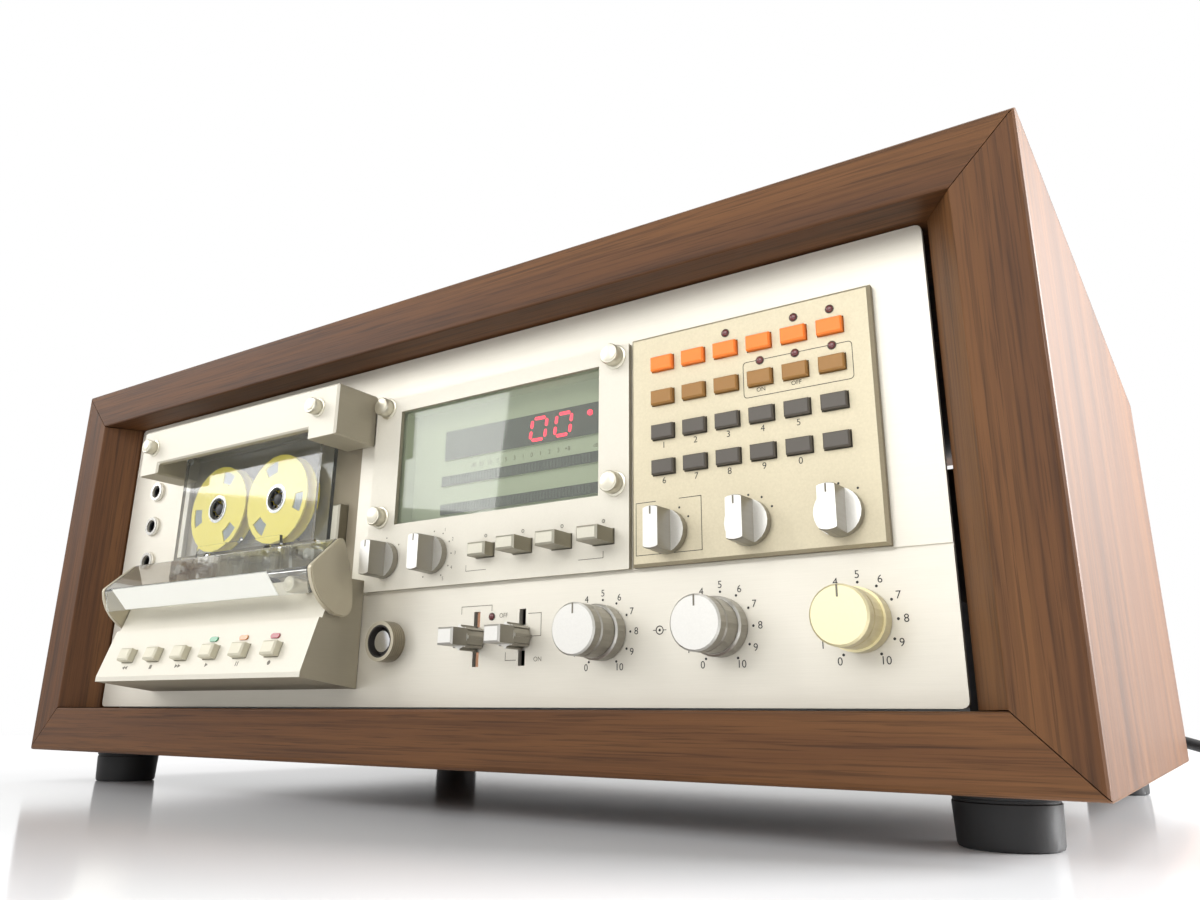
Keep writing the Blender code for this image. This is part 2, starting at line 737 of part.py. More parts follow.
MUTE_X = MODULE_RIGHT + MUTE_OFFSET
LEVER_X = MODULE_RIGHT + LEVER_OFFSET
LEVER_SLOT_HEIGHT = LEVER_TANG_HEIGHT + 2 * (LEVER_TRAVEL + LEVER_SLOT_END)
LEVEL_X = MODULE_RIGHT + LEVEL_OFFSET
WINDOW_X = DISPLAY_X + WINDOW_MIDDLE_X - WINDOW_WIDTH / 2

SMALL_KNOBS = [("speed_knob", DISPLAY_X + SPEED_KNOB_X, LOWER_STRIP + SMALL_KNOB_Z, PLATE_FRONT),
               ("bias_knob", DISPLAY_X + BIAS_KNOB_X, LOWER_STRIP + SMALL_KNOB_Z, PLATE_FRONT)]
SMALL_KNOBS += [(name, PROGRAM_X + PROGRAM_KNOB_X + k * PROGRAM_KNOB_PITCH, LOWER_STRIP + PROGRAM_KNOB_Z,
                 PROGRAM_FRONT) for k, name in enumerate(("memory_knob", "function_knob", "mode_knob"))]
LEVEL_PLACES = [LEVEL_X + k * LEVEL_PITCH for k in range(3)]
SELECTOR_PLACES = [DISPLAY_X + SELECTOR_X + k * SELECTOR_PITCH for k in range(SELECTOR_COUNT)]
LEVER_PLACES = [LEVER_X + k * LEVER_PITCH for k in range(2)]


def display_window(grow):
    x0 = WINDOW_X
    y0 = LOWER_STRIP + WINDOW_FOOT
    return rectangle(x0 - grow, x0 + WINDOW_WIDTH + grow, y0 - grow, y0 + WINDOW_HEIGHT + grow)


def selector_holes(grow, z=LOWER_STRIP + SELECTOR_Z):
    half_x = SELECTOR_WIDTH / 2 + grow
    half_y = SELECTOR_HEIGHT / 2 + grow
    return [rectangle(x - half_x, x + half_x, z - half_y, z + half_y) for x in SELECTOR_PLACES]


def key_places(first_row, rows):
    return [(PROGRAM_X + KEY_LEFT + column * KEY_PITCH_X, LOWER_STRIP + KEY_FOOT + row * KEY_PITCH_Z)
            for row in range(first_row, first_row + rows) for column in range(KEY_COLUMN_COUNT)]


def keys_field(grow, first_row=0, rows=2 * KEY_ROW_COUNT):
    places = key_places(first_row, rows)
    half_x = KEY_WIDTH / 2 + grow
    half_y = KEY_HEIGHT / 2 + grow
    return (places[0][0] - half_x, places[-1][0] + half_x, places[0][1] - half_y, places[-1][1] + half_y)


def make_front_panel():
    outline = rounded(rectangle(0, PANEL_WIDTH, 0, PANEL_HEIGHT), [PANEL_CORNER] * 4)
    bay = rectangle(JACK_ZONE + 2 * BAY_MARGIN, MODULE_RIGHT - 2 * BAY_MARGIN, BAY_FOOT_Z + BAY_MARGIN,
                    BAY_FOOT_Z + BAY_HEIGHT - BAY_MARGIN)
    holes = [bay, display_window(WINDOW_SEAT + SEAT), rectangle(*keys_field(KEY_MAT_MARGIN + SEAT))]
    holes += selector_holes(SEAT + SELECTOR_STOP)
    holes += [circle(x, z, SHAFT_HOLE) for name, x, z, face in SMALL_KNOBS]
    holes += [circle(x, LEVEL_Z, SLEEVE_RADIUS + SHAFT_CLEARANCE) for x in LEVEL_PLACES]
    holes += [rectangle(x - LEVER_SLOT_WIDTH / 2, x + LEVER_SLOT_WIDTH / 2, LEVER_Z - LEVER_SLOT_HEIGHT / 2,
                        LEVER_Z + LEVER_SLOT_HEIGHT / 2) for x in LEVER_PLACES]
    collar_bore = MUTE_COLLAR_RADIUS - MUTE_COLLAR_WALL
    holes.append(circle(MUTE_X, MUTE_Z, collar_bore + MUTE_COLLAR_WALL / 2, 16))
    jacks = [JACK_TOP_Z - k * JACK_PITCH for k in range(3)]
    jack_hole = (JACK_BORE + JACK_NUT_RADIUS) / 2
    holes += [circle(JACK_X, z, jack_hole) for z in jacks]
    panel = place(slab_mesh("front_panel", [outline], -PANEL_THICKNESS, 0), "front_panel", PANEL)
    cut(panel, "openings", slab_mesh("openings", holes, -PANEL_THICKNESS - OVERRUN, OVERRUN))
    seam = [(MODULE_RIGHT, PANEL_WIDTH + OVERRUN, LOWER_STRIP - SEAM_WIDTH, LOWER_STRIP, -SEAM_DEPTH, OVERRUN)]
    cut(panel, "seam", boxes_mesh("seam", seam))
    collar = [(collar_bore, MUTE_COLLAR_REACH), (MUTE_COLLAR_RADIUS - LEVEL_EDGE, MUTE_COLLAR_REACH),
              (MUTE_COLLAR_RADIUS, MUTE_COLLAR_REACH - LEVEL_EDGE), (MUTE_COLLAR_RADIUS, -2 * PANEL_THICKNESS),
              (collar_bore, -2 * PANEL_THICKNESS)]
    fuse(panel, "mute_collar", turned_mesh("mute_collar", collar), location=(MUTE_X, MUTE_Z, 0))
    socket = [(JACK_BORE, JACK_NUT_REACH), (JACK_NUT_RADIUS - LEVEL_EDGE, JACK_NUT_REACH),
              (JACK_NUT_RADIUS, JACK_NUT_REACH - LEVEL_EDGE), (JACK_NUT_RADIUS, -JACK_LENGTH),
              (JACK_BORE, -JACK_LENGTH)]
    for k, z in enumerate(jacks):
        fuse(panel, f"jack_socket_{k}", turned_mesh("jack_socket", socket, 16), location=(JACK_X, z, 0))
    paint(panel, "brushed_champagne", CHAMPAGNE, 0.35, 0.9)


def make_bridge():
    left = JACK_ZONE
    right = MODULE_RIGHT
    foot = BRIDGE_TOP - BRIDGE_HEIGHT
    arch_left = left + BRIDGE_LEG_LEFT
    arch_right = right - BRIDGE_LEG_RIGHT
    corners = [(left, foot), (arch_left, foot), (arch_left, foot + BRIDGE_ARCH_RISE),
               (arch_right, foot + BRIDGE_ARCH_RISE), (arch_right, foot), (right, foot),
               (right, BRIDGE_TOP), (left, BRIDGE_TOP)]
    bridge = place(slab_mesh("bay_bridge", [corners], SEAT, BRIDGE_DEPTH), "bay_bridge", PANEL)
    hood = [(arch_left, arch_right, foot - OVERRUN, CASSETTE_FOOT_Z + CASSETTE_HEIGHT + BRIDGE_EDGE,
             -OVERRUN, BRIDGE_DEPTH - BRIDGE_WALL)]
    soften(bridge, BRIDGE_EDGE)
    cut(bridge, "hood", boxes_mesh("hood", hood))
    paint(bridge, "cream_plate", PLATE_CREAM, 0.4, 0.2)


def make_housing():
    corners = [(SEAT, HOUSING_REAR_FOOT), (HOUSING_REACH, HOUSING_LIP_FOOT),
               (HOUSING_REACH, BUTTON_PLATE_FOOT), (HOUSING_REACH - BUTTON_PLATE_RUN, BUTTON_PLATE_TOP),
               (HOUSING_REACH - BUTTON_PLATE_RUN - HOUSING_STEP, BUTTON_PLATE_TOP),
               (HOUSING_TOP_REACH, HOUSING_TOP), (SEAT, HOUSING_TOP)]
    mesh = slab_mesh("transport_housing", [corners], -MODULE_RIGHT, -JACK_ZONE)
    housing = place(mesh, "transport_housing", PANEL, rotation=SIDE_TURN)
    walls = [HOUSING_WALL, HOUSING_LIP_WALL] + [HOUSING_WALL] * 4 + [-OVERRUN]
    hollow = inset(corners, walls)
    mesh = slab_mesh("housing_hollow", [hollow], HOUSING_WALL - MODULE_RIGHT, -JACK_ZONE - HOUSING_WALL)
    cut(housing, "housing_hollow", mesh)
    slot = [(HEAD_LEFT - RUN, HEAD_RIGHT + RUN, HOUSING_TOP - 2 * HOUSING_WALL, HOUSING_TOP + OVERRUN,
             -OVERRUN, HEAD_FRONT + RUN)]
    cut(housing, "head_slot", boxes_mesh("head_slot", slot), rotation=(0, 0, 0))
    holes = [(x, 0, BUTTON_WIDTH / 2 + SEAT, BUTTON_HEIGHT / 2 + SEAT) for x in button_places()]
    middle = BUTTON_SPAN * BUTTON_HEIGHT_SHARE
    mesh = boxes_mesh("button_holes", [(x - w, x + w, middle - h, middle + h, -2 * HOUSING_WALL, OVERRUN)
                                       for x, y, w, h in holes])
    cut(housing, "button_holes", mesh, parent=BUTTON_FRAME, location=(0, 0, 0), rotation=(0, 0, 0))
    pins = rods_mesh("pin_holes", [(COVER_PIVOT_REACH, COVER_PIVOT_Z, COVER_PIN_RADIUS + SEAT,
                                    -MODULE_RIGHT - OVERRUN, OVERRUN - JACK_ZONE)])
    cut(housing, "pin_holes", pins)
    paint(housing, "cream_plate", PLATE_CREAM, 0.4, 0.2)


BUTTON_FRAME = empty("button_plate_frame", (JACK_ZONE, BUTTON_PLATE_FOOT, HOUSING_REACH), (-BUTTON_TILT, 0, 0),
                     PANEL)
HEAD_LEFT = CASSETTE_MIDDLE_X - HEAD_BLOCK_WIDTH / 2
HEAD_RIGHT = CAPSTAN_X + 2 * ROLLER_RADIUS
HEAD_FRONT = CASSETTE_MID + CASSETTE_THICKNESS / 2


def button_places():
    first = (MODULE_WIDTH - (BUTTON_COUNT - 1) * BUTTON_PITCH) / 2
    return [first + k * BUTTON_PITCH for k in range(BUTTON_COUNT)]


def make_buttons():
    inside = -(HOUSING_WALL + SEAT)
    flange = (BUTTON_WIDTH / 2 + BUTTON_FLANGE, BUTTON_HEIGHT / 2 + BUTTON_FLANGE)
    body = (BUTTON_WIDTH / 2, BUTTON_HEIGHT / 2)
    stem = (BUTTON_WIDTH / 4, BUTTON_HEIGHT / 4)
    sections = [(*stem, inside - BUTTON_STEM), (*stem, inside - BUTTON_FLANGE_THICKNESS),
                (*flange, inside - BUTTON_FLANGE_THICKNESS), (*flange, inside), (*body, inside),
                (*body, BUTTON_REACH - BUTTON_EDGE),
                (body[0] - BUTTON_EDGE, body[1] - BUTTON_EDGE, BUTTON_REACH)]
    names = ("rewind", "stop", "fast_forward", "play", "pause", "record")
    for name, x in zip(names, button_places()):
        mesh = towers_mesh(f"button_{name}", [(0, 0)], sections)
        button = place(mesh, f"button_{name}", BUTTON_FRAME, (x, BUTTON_SPAN * BUTTON_HEIGHT_SHARE, 0))
        paint(button, "cream_key", CREAM, 0.4)


def make_head_cover():
    left = JACK_ZONE - COVER_CHEEK_GAP
    right = MODULE_RIGHT + COVER_CHEEK_GAP
    pivot = Vector((COVER_PIVOT_REACH, COVER_PIVOT_Z))
    lip = Vector((COVER_FRONT_REACH - COVER_STRIP_RUN, COVER_FRONT_Z - COVER_STRIP_DROP)) - pivot
    edge = Vector((COVER_FRONT_REACH, COVER_FRONT_Z)) - pivot
    top = Vector((COVER_TOP_REACH, COVER_TOP_Z)) - pivot
    slope = (top - edge).normalized()
    drop = (edge - lip).normalized()
    inner_slope = Vector((-slope.y, slope.x)) * COVER_SHEET
    inner_drop = Vector((-drop.y, drop.x)) * COVER_SHEET
    bend = inset([tuple(lip), tuple(edge), tuple(top)], [COVER_SHEET, COVER_SHEET, 0])[1]
    shoulder = edge + slope * ((edge - top).length / 2)
    eye = [(COVER_EYE_RADIUS * cos(a), COVER_EYE_RADIUS * sin(a))
           for a in (radians(135 + 180 * k / 8) for k in range(9))]
    side = eye + [tuple(lip), tuple(edge), tuple(top), tuple(top + inner_slope), tuple(shoulder + inner_slope)]
    spot = {"parent": PANEL, "location": (0, COVER_PIVOT_Z, COVER_PIVOT_REACH), "rotation": SIDE_TURN}
    mesh = slab_mesh("head_cover", [side], -right - COVER_CHEEK, COVER_CHEEK - left)
    cover = place(mesh, "head_cover", **spot)
    low = lip + inner_drop - drop * 2 * OVERRUN
    high = top + inner_slope + slope * OVERRUN
    far = -2 * COVER_EYE_RADIUS
    behind = [tuple(low), bend, tuple(high), (far, high.y), (far, far), (low.x, far)]
    cut(cover, "between_cheeks", slab_mesh("between_cheeks", [behind], -right, -left))
    pin_in = HOUSING_WALL + COVER_CHEEK_GAP + COVER_CHEEK / 2
    pins = [(0, 0, COVER_PIN_RADIUS, -left - pin_in + COVER_CHEEK / 2, -left + COVER_CHEEK / 2),
            (0, 0, COVER_PIN_RADIUS, -right - COVER_CHEEK / 2, -right + pin_in - COVER_CHEEK / 2)]
    fuse(cover, "cover_pins", rods_mesh("cover_pins", pins))
    paint(cover, "clear_cover", CLEAR, 0.1)


def make_transport_chassis():
    left = JACK_ZONE + BAY_MARGIN
    right = MODULE_RIGHT - BAY_MARGIN
    depth = FRAME_DEPTH - BAY_FRONT
    walls = rectangle(left + FRAME_SHEET, right - FRAME_SHEET, -BAY_REAR, depth - FRAME_SHEET)
    mesh = slab_mesh("transport_chassis", [rectangle(left, right, -BAY_FRONT, depth), walls], BAY_FOOT_Z,
                     BAY_FOOT_Z + BAY_HEIGHT)
    chassis = place(mesh, "transport_chassis", PANEL, rotation=(-pi / 2, 0, 0))
    bearing = [(CAPSTAN_X, CAPSTAN_Z, BEARING_RADIUS, BAY_REAR - BEARING_LENGTH, BAY_FRONT - SEAT)]
    pins = [(CASSETTE_MIDDLE_X + side * LOCATING_PIN_OFFSET, CASSETTE_FOOT_Z + LOCATING_PIN_RISE,
             LOCATING_PIN_RADIUS, BAY_REAR + SEAT, BAY_FRONT + LOCATING_PIN_LENGTH) for side in (-1, 1)]
    fuse(chassis, "bearing_and_pins", rods_mesh("bearing_and_pins", bearing + pins), rotation=(0, 0, 0))
    holes = [(CASSETTE_MIDDLE_X + side * REEL_SPACING / 2, REEL_Z, SPINDLE_COLLAR + RUN, BAY_REAR - OVERRUN,
              OVERRUN) for side in (-1, 1)]
    holes.append((CAPSTAN_X, CAPSTAN_Z, CAPSTAN_RADIUS + RUN, BAY_REAR - 2 * BEARING_LENGTH, OVERRUN))
    cut(chassis, "shaft_holes", rods_mesh("shaft_holes", holes), rotation=(0, 0, 0))
    power = [(POWER_X - POWER_WIDTH / 2 - SEAT, POWER_X + POWER_WIDTH / 2 + SEAT, POWER_Z - SEAT,
              POWER_Z + POWER_HEIGHT + SEAT, BAY_REAR - OVERRUN, OVERRUN)]
    cut(chassis, "power_hole", boxes_mesh("power_hole", power), rotation=(0, 0, 0))
    paint(chassis, "taupe_plate", TAUPE, 0.5, 0.2)
    half = (POWER_WIDTH / 2, POWER_HEIGHT / 2)
    flange = (half[0] + BUTTON_FLANGE, half[1] + BUTTON_FLANGE)
    base = BAY_REAR - SEAT
    sections = [(*flange, base - BUTTON_FLANGE), (*flange, base), (*half, base)]
    sections += capped(*half, base, BAY_FRONT + POWER_REACH, BUTTON_EDGE)[1:]
    mesh = towers_mesh("power_button", [(0, 0)], sections)
    button = place(mesh, "power_button", PANEL, (POWER_X, POWER_Z + POWER_HEIGHT / 2, 0))
    paint(button, "cream_plate", PLATE_CREAM, 0.4, 0.2)


def make_drive():
    table_front = BAY_REAR - RUN
    table_rear = table_front - SPINDLE_TABLE_THICKNESS
    reach = CASSETTE_MID + CASSETTE_THICKNESS / 2 - SPINDLE_REACH / 2
    for side, name in ((-1, "left_spindle"), (1, "right_spindle")):
        profile = [(0, CASSETTE_REAR), (SPINDLE_COLLAR, CASSETTE_REAR), (SPINDLE_COLLAR, table_front),
                   (SPINDLE_TABLE_RADIUS, table_front), (SPINDLE_TABLE_RADIUS, table_rear), (0, table_rear)]
        spindle = place(turned_mesh(name, profile), name, PANEL,
                        (CASSETTE_MIDDLE_X + side * REEL_SPACING / 2, REEL_Z, 0))
        star = toothed(SPINDLE_RADIUS, SPINDLE_RADIUS + SPINDLE_TOOTH, SPINDLE_TEETH, SPINDLE_TOOTH_WIDTH / 2,
                       turn=pi / 6)
        fuse(spindle, name + "_teeth", slab_mesh("teeth", [star], CASSETTE_REAR - SEAT, reach))
        paint(spindle, "chrome", CHROME, 0.2, 1.0, smooth=True)
    rim_front = BAY_REAR - BEARING_LENGTH - RUN
    rim_rear = rim_front - FLYWHEEL_WIDTH
    web = (rim_front + rim_rear) / 2
    rear = BAY_FRONT - FRAME_DEPTH + FRAME_SHEET + SEAT
    profile = [(0, HEAD_FRONT - CASSETTE_WALL - SEAT), (CAPSTAN_RADIUS, HEAD_FRONT - CASSETTE_WALL - SEAT),
               (CAPSTAN_RADIUS, rim_front), (BEARING_RADIUS, rim_front), (BEARING_RADIUS, web + FLYWHEEL_WEB / 2),
               (FLYWHEEL_RADIUS - FLYWHEEL_RIM, web + FLYWHEEL_WEB / 2),
               (FLYWHEEL_RADIUS - FLYWHEEL_RIM, rim_front), (FLYWHEEL_RADIUS, rim_front),
               (FLYWHEEL_RADIUS, rim_rear), (FLYWHEEL_RADIUS - FLYWHEEL_RIM, rim_rear),
               (FLYWHEEL_RADIUS - FLYWHEEL_RIM, web - FLYWHEEL_WEB / 2), (BEARING_RADIUS, web - FLYWHEEL_WEB / 2),
               (BEARING_RADIUS, rim_rear), (CAPSTAN_RADIUS, rim_rear), (CAPSTAN_RADIUS, rear), (0, rear)]
    wheel = place(turned_mesh("capstan_flywheel", profile), "capstan_flywheel", PANEL, (CAPSTAN_X, CAPSTAN_Z, 0))
    paint(wheel, "brass", BRASS, 0.3, 1.0, smooth=True)
    profile = [(0, rim_front), (PULLEY_RADIUS, rim_front), (PULLEY_RADIUS, rim_rear),
               (CAPSTAN_RADIUS, rim_rear), (CAPSTAN_RADIUS, rear + MOTOR_LENGTH), (MOTOR_RADIUS, rear + MOTOR_LENGTH),
               (MOTOR_RADIUS, rear), (0, rear)]
    motor = place(turned_mesh("capstan_motor", profile), "capstan_motor", PANEL, (MOTOR_X, MOTOR_Z, 0))
    paint(motor, "steel", STEEL, 0.4, 1.0, smooth=True)
    run = Vector((MOTOR_X - CAPSTAN_X, MOTOR_Z - CAPSTAN_Z))
    lean = atan2(run.y, run.x)
    loops = []
    for thickness in (SEAT + BELT_THICKNESS, SEAT):
        big = FLYWHEEL_RADIUS + thickness
        small = PULLEY_RADIUS + thickness
        start = pi / 2 - atan2(big - small, (run.length ** 2 - (big - small) ** 2) ** 0.5)
        around = 2 * pi - 2 * start
        loop = [(big * cos(lean + start + around * k / 24), big * sin(lean + start + around * k / 24))
                for k in range(25)]
        loop += [(run.x + small * cos(lean - start + 2 * start * k / 8),
                  run.y + small * sin(lean - start + 2 * start * k / 8)) for k in range(9)]
        loops.append(loop)
    belt = place(slab_mesh("drive_belt", loops, web - BELT_WIDTH / 2, web + BELT_WIDTH / 2), "drive_belt", PANEL,
                 (CAPSTAN_X, CAPSTAN_Z, 0))
    paint(belt, "black_rubber", BLACK, 0.7)


def make_heads():
    rest_top = CASSETTE_FOOT_Z - 3 * SEAT
    base_top = rest_top - 2 * ROLLER_RADIUS - RUN
    base_foot = base_top - 2 * HOUSING_WALL
    rear = BAY_FRONT + RUN
    mesh = boxes_mesh("head_block", [(HEAD_LEFT, HEAD_RIGHT, base_foot, base_top, rear, HEAD_FRONT)])
    block = place(mesh, "head_block", PANEL)
    inner = CASSETTE_MID - CASSETTE_THICKNESS / 2 + CASSETTE_WALL + RUN
    front = CASSETTE_MID + CASSETTE_THICKNESS / 2 - CASSETTE_WALL - RUN
    half = HEAD_BLOCK_WIDTH / 6
    fuse(block, "head", boxes_mesh("head", [(CASSETTE_MIDDLE_X - half, CASSETTE_MIDDLE_X + half,
                                             base_top - SEAT, rest_top, inner, front)]))
    arm = boxes_mesh("roller_arm", [(CAPSTAN_X - ROLLER_PIN, CAPSTAN_X + ROLLER_PIN, base_top - SEAT,
                                     rest_top - ROLLER_RADIUS + ROLLER_PIN, inner, front - ROLLER_WIDTH - SEAT)])
    fuse(block, "roller_arm", arm)
    pin = rods_mesh("roller_pin", [(CAPSTAN_X, rest_top - ROLLER_RADIUS, ROLLER_PIN, inner + SEAT, front)], 12)
    fuse(block, "roller_pin", pin)
    paint(block, "steel", STEEL, 0.4, 1.0)
    profile = [(ROLLER_PIN + SEAT, front), (ROLLER_RADIUS, front), (ROLLER_RADIUS, front - ROLLER_WIDTH),
               (ROLLER_PIN + SEAT, front - ROLLER_WIDTH)]
    roller = place(turned_mesh("pinch_roller", profile), "pinch_roller", PANEL,
                   (CAPSTAN_X, rest_top - ROLLER_RADIUS, 0))
    paint(roller, "black_rubber", BLACK, 0.7, smooth=True)


def make_cassette():
    half = CASSETTE_WIDTH / 2
    low = CASSETTE_FOOT_Z
    x = CASSETTE_MIDDLE_X
    outline = rounded(rectangle(x - half, x + half, low, low + CASSETTE_HEIGHT), [CASSETTE_CORNER] * 4)
    holes = [circle(x + side * REEL_SPACING / 2, REEL_Z, REEL_BORE + SEAT, 16) for side in (-1, 1)]
    holes += [circle(x + side * LOCATING_PIN_OFFSET, low + LOCATING_PIN_RISE, LOCATING_PIN_RADIUS + SEAT)
             for side in (-1, 1)]
    mesh = slab_mesh("cassette_shell", [outline] + holes, CASSETTE_MID - CASSETTE_THICKNESS / 2,
                     CASSETTE_MID + CASSETTE_THICKNESS / 2)
    shell = place(mesh, "cassette_shell", PANEL)
    wide = CASSETTE_THICK_WIDTH / 2
    lean = CASSETTE_CORNER
    thick = [(x - wide, low), (x + wide, low), (x + wide - lean, low + CASSETTE_THICK_HEIGHT),
             (x - wide + lean, low + CASSETTE_THICK_HEIGHT)]
    fuse(shell, "thick_end", slab_mesh("thick_end", [thick], CASSETTE_REAR, CASSETTE_REAR + CASSETTE_THICK_END))
    inner_rear = CASSETTE_MID - CASSETTE_THICKNESS / 2 + CASSETTE_WALL
    inner_front = CASSETTE_MID + CASSETTE_THICKNESS / 2 - CASSETTE_WALL
    edge = 2 * CASSETTE_WALL
    cavity = [(x - half + edge, x + half - edge, REEL_Z - REEL_RADIUS - RUN, low + CASSETTE_HEIGHT - edge,
               inner_rear, inner_front)]
    cut(shell, "cavity", boxes_mesh("cavity", cavity))
    opening = ROLLER_RADIUS + CASSETTE_WALL
    mouth = CAPSTAN_RISE + CAPSTAN_RADIUS + SEAT
    mouths = [(x + k * CAPSTAN_OFFSET - opening, x + k * CAPSTAN_OFFSET + opening, low - OVERRUN, low + mouth,
               inner_rear, inner_front) for k in (-1, 0, 1)]
    cut(shell, "mouths", boxes_mesh("mouths", mouths))
    holes = rods_mesh("capstan_holes", [(x + side * CAPSTAN_OFFSET, CAPSTAN_Z, CAPSTAN_HOLE_RADIUS,
                                         CASSETTE_REAR - OVERRUN, CASSETTE_REAR + CASSETTE_THICK_END + OVERRUN)
                                        for side in (-1, 1)])
    cut(shell, "capstan_holes", holes)
    paint(shell, "clear_shell", CLEAR, 0.1)
    front = inner_front - RUN
    rear = inner_rear + RUN
    pack = REEL_RADIUS * (REEL_WINDOW_OUTER_SHARE + REEL_WINDOW_INNER_SHARE) / 2
    for side, name in ((-1, "supply_reel"), (1, "takeup_reel")):
        profile = [(0, front), (REEL_RADIUS, front), (REEL_RADIUS, front - REEL_FLANGE), (pack, front - REEL_FLANGE),
                   (pack, rear + REEL_FLANGE), (REEL_RADIUS, rear + REEL_FLANGE), (REEL_RADIUS, rear), (0, rear)]
        reel = place(turned_mesh(name, profile), name, PANEL, (x + side * REEL_SPACING / 2, REEL_Z, 0))
        bore = toothed(REEL_BORE, REEL_BORE - SPINDLE_TOOTH_WIDTH / 2, 2 * SPINDLE_TEETH, SPINDLE_TOOTH_WIDTH / 2)
        cut(reel, name + "_bore", slab_mesh("bore", [bore], rear - OVERRUN, front + OVERRUN))
        inner = REEL_RADIUS * REEL_WINDOW_INNER_SHARE
        outer = REEL_RADIUS * REEL_WINDOW_OUTER_SHARE
        windows = []
        for k in range(REEL_WINDOWS):
            middle = tau * k / REEL_WINDOWS + pi / 2 + side * pi / 9
            angles = [middle - REEL_WINDOW_HALF_ANGLE, middle, middle + REEL_WINDOW_HALF_ANGLE]
            loop = [(outer * cos(a), outer * sin(a)) for a in angles]
            windows.append(loop + [(inner * cos(a), inner * sin(a)) for a in reversed(angles)])
        mesh = slab_mesh("reel_windows", windows, front - 1.5 * REEL_FLANGE, front + OVERRUN)
        cut(reel, name + "_windows", mesh)
        paint(reel, "yellow_reel", YELLOW, 0.4)


def make_display():
    right = DISPLAY_X + DISPLAY_WIDTH
    outline = rounded(rectangle(DISPLAY_X, right, LOWER_STRIP + SEAT, LOWER_STRIP + PLATE_HEIGHT),
                      [PLATE_EDGE] * 4, 2)
    holes = [display_window(0)] + selector_holes(SEAT)
    holes += [circle(x, z, SHAFT_HOLE) for name, x, z, face in SMALL_KNOBS if x < PROGRAM_X]
    bezel = place(slab_mesh("display_bezel", [outline] + holes, SEAT, PLATE_FRONT), "display_bezel", PANEL)
    paint(bezel, "cream_plate", PLATE_CREAM, 0.4, 0.2)
    sheet = slab_mesh("display_window", [display_window(WINDOW_SEAT)], -WINDOW_SHEET, 0)
    paint(place(sheet, "display_window", PANEL), "smoked_window", SMOKE, 0.1)
    front = -(max(PANEL_THICKNESS, WINDOW_SHEET) + SEAT)
    back = front - DISPLAY_DEPTH
    unit = place(slab_mesh("display_unit", [display_window(DISPLAY_WALL)], back, front), "display_unit", PANEL)
    floor = -DISPLAY_RECESS
    cut(unit, "display_recess", slab_mesh("display_recess", [display_window(0)], floor, OVERRUN))
    window_right = WINDOW_X + WINDOW_WIDTH
    y = LOWER_STRIP + COUNTER_Z
    raised = [(WINDOW_X + COUNTER_LEFT, window_right - COUNTER_RIGHT, y, y + COUNTER_HEIGHT,
               floor - SEAT, floor + COUNTER_REACH)]
    for k in range(2):
        y = LOWER_STRIP + BAR_Z + k * BAR_PITCH
        raised.append((WINDOW_X + BAR_LEFT, window_right - BAR_RIGHT, y, y + BAR_HEIGHT, floor - SEAT,
                       floor + COUNTER_REACH))
    fuse(unit, "display_fronts", boxes_mesh("display_fronts", raised))
    paint(unit, "smoked_window", SMOKE, 0.4)


def make_bar_knob(name, x, z, face):
    edge = BAR_KNOB_EDGE
    profile = [(0, BAR_KNOB_HEIGHT), (BAR_KNOB_RADIUS - edge, BAR_KNOB_HEIGHT),
               (BAR_KNOB_RADIUS - edge / 2, BAR_KNOB_HEIGHT - edge), (BAR_KNOB_RADIUS, SEAT),
               (SHAFT_RADIUS, SEAT), (SHAFT_RADIUS, -SHAFT_LENGTH), (0, -SHAFT_LENGTH)]
    knob = place(turned_mesh(name, profile), name, PANEL, (x, z, face))
    far = BAR_KNOB_RADIUS + OVERRUN
    half = BAR_KNOB_GRIP / 2
    sides = [(side * half, side * far) for side in (-1, 1)]
    flats = boxes_mesh("flats", [(min(a, b), max(a, b), -far, far, BAR_KNOB_SKIRT, BAR_KNOB_HEIGHT + OVERRUN)
                                 for a, b in sides])
    cut(knob, name + "_flats", flats)
    paint(knob, "silver_knob", SILVER, 0.3, 0.9, smooth=True)


def make_selectors():
    face = PLATE_FRONT
    half = (SELECTOR_WIDTH / 2, SELECTOR_HEIGHT / 2)
    stop = (half[0] + SELECTOR_STOP, half[1] + SELECTOR_STOP)
    for k, x in enumerate(SELECTOR_PLACES):
        pressed = SELECTOR_TRAVEL if k == 0 else 0
        reach = face + SELECTOR_REACH - pressed
        stop_front = -pressed
        sections = [(*half, reach - SELECTOR_LENGTH), (*half, stop_front - SELECTOR_STOP),
                    (*stop, stop_front - SELECTOR_STOP), (*stop, stop_front), (*half, stop_front)]
        sections += capped(*half, stop_front, reach, BUTTON_EDGE)[1:]
        name = f"tape_selector_{k + 1}"
        button = place(towers_mesh(name, [(0, 0)], sections), name, PANEL, (x, LOWER_STRIP + SELECTOR_Z, 0))
        paint(button, "cream_key", CREAM, 0.4)


